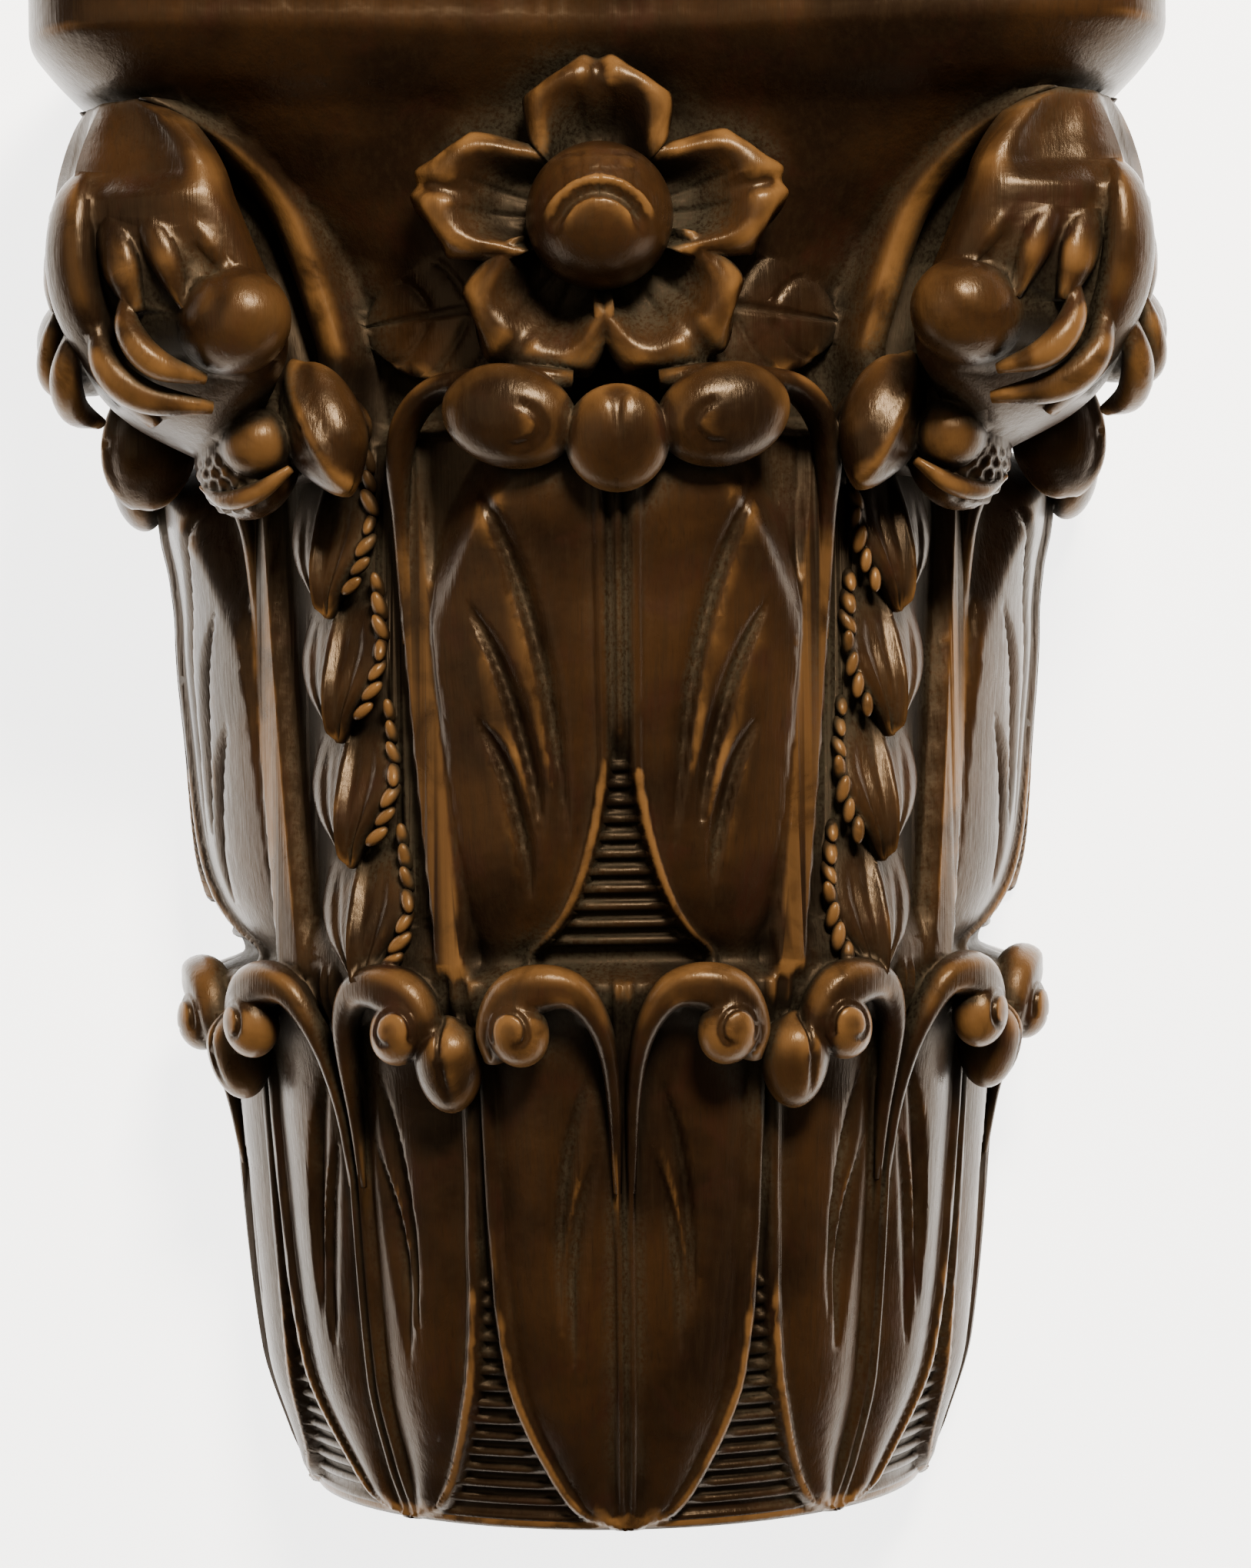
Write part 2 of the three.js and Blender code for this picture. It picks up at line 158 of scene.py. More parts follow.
def read(pairs, place):
    """A value read from [place, value] pairs by smooth steps of a monotone cubic."""
    places = np.array([pair[0] for pair in pairs], float)
    values = np.array([pair[1] for pair in pairs], float)
    steps = np.diff(values) / np.diff(places)
    slopes = np.zeros(len(values))
    for i in range(1, len(values) - 1):
        if steps[i - 1] * steps[i] > 0:
            slopes[i] = 2 * steps[i - 1] * steps[i] / (steps[i - 1] + steps[i])
    place = np.clip(np.asarray(place, float), places[0], places[-1])
    span = np.clip(np.searchsorted(places, place, side="right") - 1, 0, len(steps) - 1)
    width = places[span + 1] - places[span]
    share = (place - places[span]) / width
    rise = values[span + 1] - values[span]
    start = slopes[span] * width
    end = slopes[span + 1] * width
    return (
        values[span]
        + start * share
        + (3 * rise - 2 * start - end) * share**2
        + (start + end - 2 * rise) * share**3
    )


def catmull(stations, steps):
    """Rows of numbers carried smoothly from station to station."""
    points = np.array(stations, float)
    padded = np.vstack([2 * points[0] - points[1], points, 2 * points[-1] - points[-2]])
    place = np.linspace(0, len(points) - 1, steps + 1)
    span = np.clip(place.astype(int), 0, len(points) - 2)
    share = (place - span)[:, None]
    before, start, end, after = (padded[span + shift] for shift in range(4))
    return 0.5 * (
        2 * start
        + (end - before) * share
        + (2 * before - 5 * start + 4 * end - after) * share**2
        + (3 * start - before - 3 * end + after) * share**3
    )


def loft(rings, start_tip=None, end_tip=None):
    """A closed solid from rings of points, each ring anticlockwise seen against the direction of travel."""
    rings = np.asarray(rings, float)
    count, around = rings.shape[:2]
    start_tip = rings[0].mean(axis=0) if start_tip is None else start_tip
    end_tip = rings[-1].mean(axis=0) if end_tip is None else end_tip
    points = np.vstack([rings.reshape(-1, 3), start_tip, end_tip])
    row, column = np.meshgrid(np.arange(count - 1), np.arange(around), indexing="ij")
    here = row * around + column
    beside = row * around + (column + 1) % around
    quads = np.stack([here, beside, beside + around, here + around], axis=-1).reshape(-1, 4)
    first = np.arange(around)
    second = (first + 1) % around
    last = (count - 1) * around
    start_fan = np.stack([np.full(around, count * around), second, first], axis=-1)
    end_fan = np.stack([np.full(around, count * around + 1), last + first, last + second], axis=-1)
    return points, [quads, start_fan, end_fan]


def sweep(stations, steps=36, sides=20, boxy=1.0, ridge=None):
    """A bar along [angle, z, radius, half width, half depth] stations. boxy under 1 squares its section,
    and ridge(travel, turn) adds to its depth."""
    path = catmull(stations, steps)
    centre = spot(path[:, 0], path[:, 1], path[:, 2])
    travel = np.gradient(centre, axis=0)
    travel /= np.linalg.norm(travel, axis=1)[:, None]
    out = outward(path[:, 0])
    out -= (out * travel).sum(axis=1)[:, None] * travel
    out /= np.linalg.norm(out, axis=1)[:, None]
    side = np.cross(out, travel)
    turn = 2 * np.pi * np.arange(sides) / sides
    wide = np.sign(np.cos(turn)) * np.abs(np.cos(turn)) ** boxy
    deep = np.sign(np.sin(turn)) * np.abs(np.sin(turn)) ** boxy
    width = np.maximum(path[:, 3], 0.15)[:, None]
    depth = np.maximum(path[:, 4], 0.15)[:, None] * deep
    if ridge is not None:
        share = np.linspace(0, 1, steps + 1)[:, None]
        depth = depth + ridge(share, turn[None, :])
    rings = (
        centre[:, None, :]
        + side[:, None, :] * (width * wide)[:, :, None]
        + out[:, None, :] * depth[:, :, None]
    )
    return loft(rings, centre[0] - 0.3 * travel[0], centre[-1] + 0.3 * travel[-1])


def lump(angle, z, radius, half, roll=0.0, tilt=0.0, carve=None, columns=36, rows=24):
    """A rounded lump with half sizes across, up and out. carve(x, y, out) gives a share to take off its
    radius."""
    polar = np.linspace(0, np.pi, rows + 1)[1:-1]
    turn = 2 * np.pi * np.arange(columns) / columns
    polar, turn = np.meshgrid(polar, turn, indexing="ij")
    unit = np.stack([np.sin(polar) * np.cos(turn), np.sin(polar) * np.sin(turn), -np.cos(polar)], axis=-1)
    tips = np.array([[0, 0, -1.0], [0, 0, 1.0]])
    if carve is not None:
        unit = unit * (1 - carve(unit[..., 0], unit[..., 1], unit[..., 2]))[..., None]
    scaled, scaled_tips = unit * np.array(half), tips * np.array(half)
    turn_roll, turn_tilt = math.radians(roll), math.radians(tilt)
    rolled = np.array([
        [math.cos(turn_roll), -math.sin(turn_roll), 0],
        [math.sin(turn_roll), math.cos(turn_roll), 0],
        [0, 0, 1],
    ])
    tilted = np.array([
        [1, 0, 0],
        [0, math.cos(turn_tilt), -math.sin(turn_tilt)],
        [0, math.sin(turn_tilt), math.cos(turn_tilt)],
    ])
    out = outward(float(angle))
    side = np.array([-out[1], out[0], 0])
    basis = np.stack([side, np.array([0, 0, 1.0]), out], axis=1) @ tilted @ rolled
    centre = spot(angle, z, radius)
    rings = scaled @ basis.T + centre
    ends = scaled_tips @ basis.T + centre
    return loft(rings, ends[0], ends[1])


# Faces of the two rows of leaves

HUSK_TIP = up(0.62)


def lower_face(share):
    pairs = [[0, 0], [0.05, 0.06], [0.26, 0.42], [0.7, 0.667], [0.78, 0.7], [0.87, 0.82], [0.94, 1],
             [1.1, 1.05]]
    return FOOT_RADIUS + (LOWER_LIP - FOOT_RADIUS) * read(pairs, share)


def upper_face(share):
    swells = [[0, -0.62], [0.04, -0.43], [0.075, -0.28], [0.11, -0.16], [0.185, -0.02], [0.36, 0.12],
              [0.6, 0.3], [1, 0.3]]
    flares = [[0.6, 0], [0.7, 0.14], [0.78, 0.38], [0.84, 0.46], [0.9, 0.34], [1, 0.2]]
    swell = read(swells, share)
    flare = read(flares, share)
    swollen = BAND + swell * (UPPER_LIP - BAND)
    return swollen + flare * (UPPER_LIP - swollen)


def lower_leaf_half(share):
    pairs = [[0, 0.1], [0.025, 0.40], [0.06, 0.54], [0.1, 0.64], [0.19, 0.8], [0.28, 0.9], [0.43, 0.96],
             [0.78, 0.99]]
    return read(pairs, share) * PITCH / 2


def upper_field_half(share):
    pairs = [[0, 0.74], [0.04, 0.54], [0.09, 0.36], [0.17, 0.21], [0.25, 0.12], [0.36, 0.06], [1, 0.06]]
    return read(pairs, share) * PITCH / 2


def slash(across, z, stations, width, depth):
    """A gouge cut on one side of a path: its inner wall is steep and its outer wall fades into the leaf.
    Stations are [across, z], and it thins out at both ends."""
    path = catmull(stations, 14)
    best = np.full(across.shape, 1e9)
    share = np.zeros(across.shape)
    beside = np.zeros(across.shape)
    for i in range(len(path) - 1):
        start, step = path[i], path[i + 1] - path[i]
        along = np.clip(((across - start[0]) * step[0] + (z - start[1]) * step[1]) / (step @ step), 0, 1)
        over, rise = across - start[0] - along * step[0], z - start[1] - along * step[1]
        gap = np.hypot(over, rise)
        nearer = gap < best
        best = np.where(nearer, gap, best)
        share = np.where(nearer, (i + along) / (len(path) - 1), share)
        beside = np.where(nearer, np.sign(over * step[1] - rise * step[0]), beside)
    open_width = width * np.sin(np.pi * np.clip(share, 0.02, 0.98)) ** 0.6
    steep = np.clip(1 - best / np.maximum(0.85 * open_width, 0.05), 0, 1)
    slow = np.clip(1 - best / np.maximum(3.0 * open_width, 0.05), 0, 1) ** 1.5
    return -depth * np.where(beside < 0, steep, slow) * (open_width / width)


LOWER_SLASHES = [
    ([[9.5, low(0.80)], [14.5, low(0.68)], [17.2, low(0.52)], [17.0, low(0.36)]], 2.0, 3.5),
    ([[7.0, low(0.68)], [12.0, low(0.56)], [14.2, low(0.43)], [13.6, low(0.30)]], 1.9, 3.2),
]
UPPER_SLASHES = [
    ([[41, up(0.86)], [30.5, up(0.72)], [22.5, up(0.53)], [18.5, up(0.34)], [16.5, up(0.2)]], 2.1, 3.4),
    ([[41.5, up(0.62)], [33.5, up(0.5)], [27, up(0.34)], [24, up(0.22)]], 2.1, 3.5),
    ([[41, up(0.42)], [34.5, up(0.33)], [30, up(0.2)], [29, up(0.1)]], 2.0, 3.2),
]


def lower_relief(angle, z):
    """Height of the lower leaves' carving over their face."""
    share = (z - FOOT) / LOWER_ROW
    from_stem = np.abs(angle - PITCH * np.round(angle / PITCH))
    arc = np.radians(1) * lower_face(share)
    across = from_stem * arc
    inside = (lower_leaf_half(share) - from_stem) * arc
    width = np.maximum(lower_leaf_half(share) * arc, 1)
    blade = -2.5 + 2.9 * np.sin(np.pi * np.clip((inside - 2) / np.maximum(width - 4.5, 1), 0, 1)) ** 0.9
    rim = 2.5 * smooth_step(4.2, 2.4, inside) * smooth_step(-0.8, 1.0, inside)
    narrow = smooth_step(0.0, 0.1, share)
    stem = (3.1 * smooth_step(3.2, 1.8, across) - 2.0 * smooth_step(1.3, 0.2, across)) * (0.4 + 0.6 * narrow)
    leaf = np.maximum(blade + rim, blade + stem)
    for stations, width, depth in LOWER_SLASHES:
        leaf = leaf + slash(across, z, stations, width, depth)
    ground = -GROUND * read([[0, 1], [0.7, 1], [0.9, 0.3], [1.1, 0.3]], share)
    relief = ground + (leaf - ground) * smooth_step(-1.1, 0.6, inside)
    return FOOT_FACE + (relief - FOOT_FACE) * (0.3 + 0.7 * smooth_step(0.0, 0.05, share))


def upper_relief(angle, z):
    """Height of the upper leaves, their bands and the husk strips over the leaves' face."""
    share = (z - ROW) / UPPER_ROW
    pair = 2 * PITCH
    from_stem = np.abs(angle - pair * np.round(angle / pair))
    face = upper_face(share)
    arc = np.radians(1) * face
    across = from_stem * arc
    field = (from_stem - upper_field_half(share)) * arc
    to_band = (BAND_EDGE * PITCH - from_stem) * arc
    past_band = (from_stem - STRIP_EDGE * PITCH) * arc
    span = np.maximum(field + to_band, 1)
    crown = 1.7 * np.sin(np.pi * np.clip((field - 3) / np.maximum(span - 3, 1), 0, 1))
    blade = -0.9 + crown
    rim = 2.1 * smooth_step(4.6, 2.6, field) * smooth_step(-0.4, 1.2, field)
    leaf = blade + rim
    for stations, width, depth in UPPER_SLASHES:
        leaf = leaf + slash(across, z, stations, width, depth)
    open_field = smooth_step(0.40, 0.33, share)
    ground = -GROUND * open_field + (-1.9 + 2.9 * smooth_step(2.0, 0.5, across)) * (1 - open_field)
    leaf = ground + (leaf - ground) * smooth_step(-0.7, 0.9, field)
    band = BAND - face
    corner = smooth_step(0.85, 1.02, np.hypot(1.25 * (share - 0.2), 0.78 * from_stem / (0.6 * PITCH)))
    leaf = leaf + (band - 2.5 - leaf) * corner * smooth_step(0.5, 0.7, share)
    leaf = np.where(to_band > 0, leaf - 1.1 * smooth_step(1.6, 0.3, to_band), leaf)
    leaf = band + (leaf - band) * smooth_step(-0.5, 1.1, to_band)
    strip = band - STRIP * read([[0, 0.4], [0.08, 1], [0.9, 1], [1, 0.5]], share)
    return leaf + (strip - leaf) * smooth_step(-0.6, 1.0, past_band)


# Bell and abacus

SQUARENESS = 8
SIDE_HOLLOW = 0.11


def square_plan(angle, half_width, hollow=0.0):
    turn = np.radians(angle)
    total = np.abs(np.sin(turn)) ** SQUARENESS + np.abs(np.cos(turn)) ** SQUARENESS
    return half_width * (1 - hollow * np.cos(2 * turn) ** 2) * total ** (-1 / SQUARENESS)


def bell_radius(angle, z):
    share = (z - NECKING) / NECK
    reaches = [[-0.3, BELL], [0.05, NECK_DEPTH], [0.35, NECK_DEPTH + 4], [0.6, NECK_DEPTH + 12],
               [0.78, NECK_DEPTH + 20], [0.88, ABACUS - 9], [0.95, ABACUS - 3.5], [1.0, ABACUS - 1.5]]
    squares = [[-0.3, 0], [0.05, 0], [0.35, 0.2], [0.6, 0.6], [0.78, 0.9], [0.88, 1], [1, 1]]
    reach = read(reaches, share)
    square = read(squares, share)
    reach = reach + 1.5 * smooth_step(FASCIA_FOOT - 6, FASCIA_FOOT + 3, z)
    over = (z - SLAB_FOOT) / SLAB
    swell = np.where(over > 0, read([[0, 0], [0.12, 0.45], [0.3, 0.85], [0.42, 1], [1, 1]], over), 0)
    reach = reach + swell * OVERHANG
    flat = square_plan(angle, reach, SIDE_HOLLOW)
    return reach + square * (flat - reach)


def block_radius(angle, z):
    """The carved face's distance from the axis, all the way up."""
    pattern = angle - TURN * (1 - (angle / WALL) ** 2)
    share_low = (z - FOOT) / LOWER_ROW
    share_up = (z - ROW) / UPPER_ROW
    lower = lower_face(share_low) + lower_relief(pattern, z)
    upper = upper_face(share_up) + upper_relief(upright(pattern, share_up), z)
    bell = bell_radius(angle, z)
    rounded = smooth_step(0.955, 0.995, share_low)
    carved = lower + (upper - lower) * rounded
    shelf = smooth_step(0.9, 0.94, share_up)
    whole = np.where(share_up > 0.9, upper + (bell - upper) * shelf, carved)
    return np.where(share_up > 0.94, bell, whole)


def block_body(step):
    """The block as one closed lathe-like grid: the carved front, and a flat wall side."""
    columns = int(np.pi * BAND / step)
    carved_levels = np.linspace(FOOT, SLAB_FOOT, int((SLAB_FOOT - FOOT) / step))
    slab_levels = np.linspace(SLAB_FOOT, TOP, 14)[1:]
    z = np.concatenate([carved_levels, slab_levels])[:, None]
    angle = np.linspace(-WALL, WALL, columns)[None, :]
    radius = block_radius(angle, z)
    bevel, bevel_height = 0.8, 1.5
    radius = np.where(z < FOOT + bevel_height, radius - bevel * (1 - (z - FOOT) / bevel_height), radius)
    front = spot(angle, z, radius)
    front[:, 0, 1] = 0
    front[:, -1, 1] = 0
    middle = np.zeros((len(z), 1, 3))
    middle[:, 0, 2] = z[:, 0]
    rings = np.concatenate([front, middle], axis=1)
    start = middle[0, 0] + np.array([0, -BELL / 4, 0])
    end = middle[-1, 0] + np.array([0, -BELL / 4, 0])
    return loft(rings, start, end)


# Lower row: hooks and tongues

def lower_hook(stem, way):
    def at(share):
        return turned(stem + way * share * PITCH)

    def flute(travel, turn):
        hollow = smooth_step(0.75, 0.0, np.abs(turn - 0.5 * np.pi)) * smooth_step(0.3, 0.6, travel)
        return -0.9 * hollow * smooth_step(1.0, 0.8, travel)

    def spiral(x, y, out):
        reach = np.hypot(x, y)
        turn = np.arctan2(y, -way * x)
        ring = 0.28 + 0.075 * (turn + np.pi)
        cut = smooth_step(0.11, 0.0, np.abs(reach - ring)) * smooth_step(0.05, 0.5, out)
        return 0.13 * cut * smooth_step(-2.6, -0.6, turn)

    stations = [
        [at(0.024), low(0.60), LOWER_LIP - 11.0, 1.1, 1.0],
        [at(0.028), low(0.72), LOWER_LIP - 8.4, 1.7, 2.2],
        [at(0.042), low(0.82), LOWER_LIP - 4.4, 2.3, 3.2],
        [at(0.078), low(0.895), LOWER_LIP - 0.8, 3.2, 4.4],
        [at(0.145), low(0.945), LOWER_LIP + 1.2, 4.6, 5.6],
        [at(0.235), low(0.955), LOWER_LIP + 2.4, 6.0, 6.4],
        [at(0.325), low(0.935), LOWER_LIP + 2.4, 7.0, 6.8],
        [at(0.385), low(0.885), LOWER_LIP + 1.6, 5.4, 6.0],
        [at(0.395), low(0.835), LOWER_LIP - 0.5, 3.0, 4.4],
    ]
    scroll = (7.8, 9.2, 7.2)
    return [
        sweep(stations, steps=54, sides=24, ridge=flute),
        lump(at(0.315), low(0.883), LOWER_LIP + 3.6, scroll, roll=-22 * way, carve=spiral, columns=56,
             rows=40),
    ]


def lower_tongue(centre):
    """The drop that hangs between two lower leaves, with the crease where they meet."""
    def crease(x, y, out):
        line = np.abs(x - 0.1 + 0.12 * y)
        narrow = 0.28 * smooth_step(0.1, 0.95, y)
        cut = 0.11 * smooth_step(0.16, 0.0, line) * smooth_step(-0.85, -0.2, y)
        return narrow + cut * smooth_step(0.0, 0.4, out)

    drop = (8.9, 14.6, 8.6)
    return [lump(turned(centre), low(0.838), LOWER_LIP - 0.8, drop, tilt=8, carve=crease, columns=48)]


# Upper row: curls

def upper_curl(centre, ways):
    """The overhanging lip of an upper leaf: lobes with a curled crease on each side of a notched tongue."""
    def tongue_cut(x, y, out):
        line = smooth_step(0.13, 0.0, np.abs(x) - 0.05 * smooth_step(0.2, 1, y))
        return 0.09 * line * smooth_step(-0.2, 0.5, y) * smooth_step(0.0, 0.4, out)

    tongue, lobe = (13.0, 13.4, 7.4), (17.2, 12.8, 8.8)
    parts = [lump(turned(centre), up(0.884), UPPER_LIP + 0.8, tongue, tilt=10, carve=tongue_cut, columns=52)]
    for way in ways:
        def at(share, way=way):
            return turned(centre + way * share * PITCH)

        def curl(x, y, out, way=way):
            reach = np.hypot(x * way + 0.15, y + 0.1)
            turn = np.arctan2(y + 0.1, x * way + 0.15)
            cut = smooth_step(0.13, 0.0, np.abs(reach - 0.42)) * smooth_step(0.1, 0.5, out)
            return 0.08 * cut * smooth_step(1.3, 2.0, np.abs(turn))

        parts.append(lump(at(0.285), up(0.925), UPPER_LIP + 0.2, lobe, roll=14 * way, tilt=6, carve=curl,
                          columns=68, rows=44))
        outer_edge = [
            [at(0.12), up(0.985), UPPER_LIP - 4.0, 2.6, 4.5],
            [at(0.26), up(0.995), UPPER_LIP - 3.0, 2.8, 6.0],
            [at(0.40), up(0.99), UPPER_LIP - 3.6, 2.9, 6.4],
            [at(0.52), up(0.975), UPPER_LIP - 4.8, 3.0, 6.2],
            [at(0.61), up(0.925), UPPER_LIP - 7.0, 3.0, 5.4],
            [at(0.655), up(0.855), BAND + 4.0, 2.7, 4.2],
            [at(0.672), up(0.77), BAND + 0.6, 2.2, 2.6],
            [at(0.675), up(0.66), BAND - 0.8, 1.8, 1.4],
            [at(0.675), up(0.55), BAND - 1.4, 0.8, 0.8],
        ]
        parts.append(sweep(outer_edge, steps=60, sides=24, boxy=0.85))
    return parts


# Corners: husks, berries and their petals

def one_husk(centre):
    """The topmost husk scale, with a sharp lit midrib and a pointed tip that stands free over the next."""
    def midrib(travel, turn):
        from_crest = np.abs(turn - 0.5 * np.pi)
        ridge = 2.9 * smooth_step(0.2, 0.02, from_crest) * smooth_step(0.1, 0.4, travel)
        fold = 1.0 * smooth_step(0.16, 0.0, np.abs(from_crest - 0.55)) * smooth_step(0.2, 0.5, travel)
        return (ridge - fold) * smooth_step(1.0, 0.9, travel)

    def station(rise, out, half_width, half_depth):
        z = HUSK_TIP + rise
        return [leaned(centre, (z - ROW) / UPPER_ROW), z, BAND - STRIP + out, half_width, half_depth]

    stations = [
        station(42, -4.0, 8.0, 1.6),
        station(31, -1.5, 12.4, 2.8),
        station(20, 0.8, 14.0, 3.8),
        station(11, 3.0, 10.8, 4.6),
        station(3, 4.4, 4.8, 4.0),
        station(-3, 4.6, 0.8, 2.0),
    ]
    return sweep(stations, steps=36, sides=76, ridge=midrib)


def husk_edges(side):
    """The front edge of each husk, where the rope of small teeth lies."""
    reach = BAND - STRIP
    stations = [[14.2, 37, 1.6], [14.6, 28, 2.2], [14.0, 19, 3.0], [11.4, 10, 4.4], [8.6, 5, 5.2]]
    edge = catmull(stations, 16)
    paths = []
    for i in range(HUSKS):
        tip = HUSK_TIP - i * HUSK_STEP
        strip = leaned(side * PITCH, (tip + edge[:, 1] - ROW) / UPPER_ROW)
        angle = strip - side * np.degrees(edge[:, 0] / BAND)
        paths.append(spot(angle, tip + edge[:, 1], reach + edge[:, 2]))
    return paths


def ladder_paths():
    """One path for each rib: between the feet of the lower leaves, and at the foot of the upper stems."""
    paths = []
    overlap = 1.4
    for i in range(int(0.46 * LOWER_ROW / RIB_PITCH)):
        z = FOOT + 3.0 + i * RIB_PITCH
        share = (z - FOOT) / LOWER_ROW
        half = PITCH / 2 - lower_leaf_half(share) + overlap
        for centre in (-1.5 * PITCH, -0.5 * PITCH, 0.5 * PITCH, 1.5 * PITCH):
            angle = turned(np.linspace(centre - half, centre + half, 14))
            paths.append(spot(angle, z, lower_face(share) - GROUND + 0.25))
    for i in range(int(0.36 * UPPER_ROW / RIB_PITCH)):
        z = ROW + 4.5 + i * RIB_PITCH
        share = (z - ROW) / UPPER_ROW
        half = upper_field_half(share) + 0.3
        for centre in (-2 * PITCH, 0, 2 * PITCH):
            angle = leaned(np.linspace(centre - half, centre + half, 16), share)
            paths.append(spot(angle, z, upper_face(share) - GROUND + 0.35))
    return paths


def berry_cluster(side):
    """Two berries under a gouged cap in each corner, held by a leaf on each side."""
    centre = side * PITCH * 1.03
    z = NECKING - 16
    reach = BAND + 18.5

    def gouges(x, y, out):
        cuts = 0
        for place in (-0.42, -0.2, 0.02):
            line = np.abs(x * side * 0.85 + y * 0.5 - place - 0.3)
            cut = 0.12 * smooth_step(0.10, 0.0, line) * smooth_step(0.0, 0.4, y)
            cuts = cuts + cut * smooth_step(0, 0.3, out)
        rough = 0.06 * np.sin(23 * x) * np.sin(19 * y + 2) * smooth_step(0.1, -0.5, y)
        return cuts + rough * smooth_step(0, 0.4, out)

    ball = centre - side * 3.4
    under_lip = [
        [centre + side * 3.5, z - 9, reach + 7.5, 0.8, 1.6],
        [centre - side * 0.5, z - 13, reach + 8.5, 2.4, 2.6],
        [centre - side * 4.5, z - 11.5, reach + 7.5, 2.6, 2.6],
        [centre - side * 8.0, z - 6, reach + 4.5, 1.0, 1.6],
    ]
    parts = [
        lump(centre, z, reach, (15.5, 17.5, 12.0), carve=gouges, columns=64, rows=48),
        lump(ball, z + 1, reach + 5, (9.8, 9.4, 9.0)),
        lump(centre, z + 5, reach - 14, (29, 13, 11)),
        sweep(under_lip, steps=24, sides=14),
    ]
    front_leaf = (-9.6, reach - 4.5, (11.0, 18.5, 9.5), -22, -1)
    back_leaf = (15.0, reach + 6, (10.5, 17.0, 12.0), 8, 1)
    for from_centre, radius, half, roll, way in (front_leaf, back_leaf):
        def fold(x, y, out, way=way):
            line = np.abs(x * way * side + 0.2 * y - 0.12)
            ridge = -0.14 * smooth_step(0.35, 0.0, line) * smooth_step(0, 0.3, out)
            return ridge + 0.22 * smooth_step(-0.2, -1.0, y) * np.abs(x)

        parts.append(lump(centre + side * from_centre, z + 4, radius, half, roll=side * roll, carve=fold,
                          columns=48, rows=36))
    return parts


# The corner leaf

def on_tip(side, stations):
    """Stations given for the right-hand corner's front face as [x, z, distance from the wall, half width,
    half depth], on the asked corner, and their mirror image across the corner's diagonal."""
    both = []
    for way in (-1, 1):
        path = []
        for x, z, out, half_width, half_depth in stations:
            from_corner = CORNER - math.degrees(math.atan2(x, out))
            path.append([side * (CORNER + way * from_corner), z, math.hypot(x, out), half_width, half_depth])
        both.append(path)
    return both


# Sections of the corner leaf: height, the rim's distance from the axis and angle from the corner, the
# hollow's distance, the core's angle, the tip's share of the abacus and the angle where the tip begins
CORNER_SECTIONS = [
    [neck(-0.22), 117, 12.5, 113, 7.0, 0.74, 43.0],
    [neck(-0.11), 119, 12.6, 114, 7.0, 0.84, 38.5],
    [neck(0.0), 120, 12.4, 114, 6.8, 0.895, 33.5],
    [neck(0.1), 121.5, 13.0, 114, 6.4, 0.925, 31.6],
    [neck(0.21), 123.5, 12.2, 115, 5.6, 0.943, 31.6],
    [neck(0.36), 126.5, 11.0, 118, 4.8, 0.96, 32.8],
    [neck(0.5), 131.5, 10.0, 124, 4.2, 0.968, 34.0],
    [neck(0.6), 139, 9.0, 132, 3.6, 0.963, 35.0],
    [neck(0.69), 149, 7.8, 144, 3.2, 0.948, 36.8],
    [neck(0.76), 160, 6.4, 155, 3.0, 0.932, 38.9],
    [neck(0.81), 168, 5.0, 164, 2.9, 0.918, 41.3],
]
CORNER_RIM = 3.7


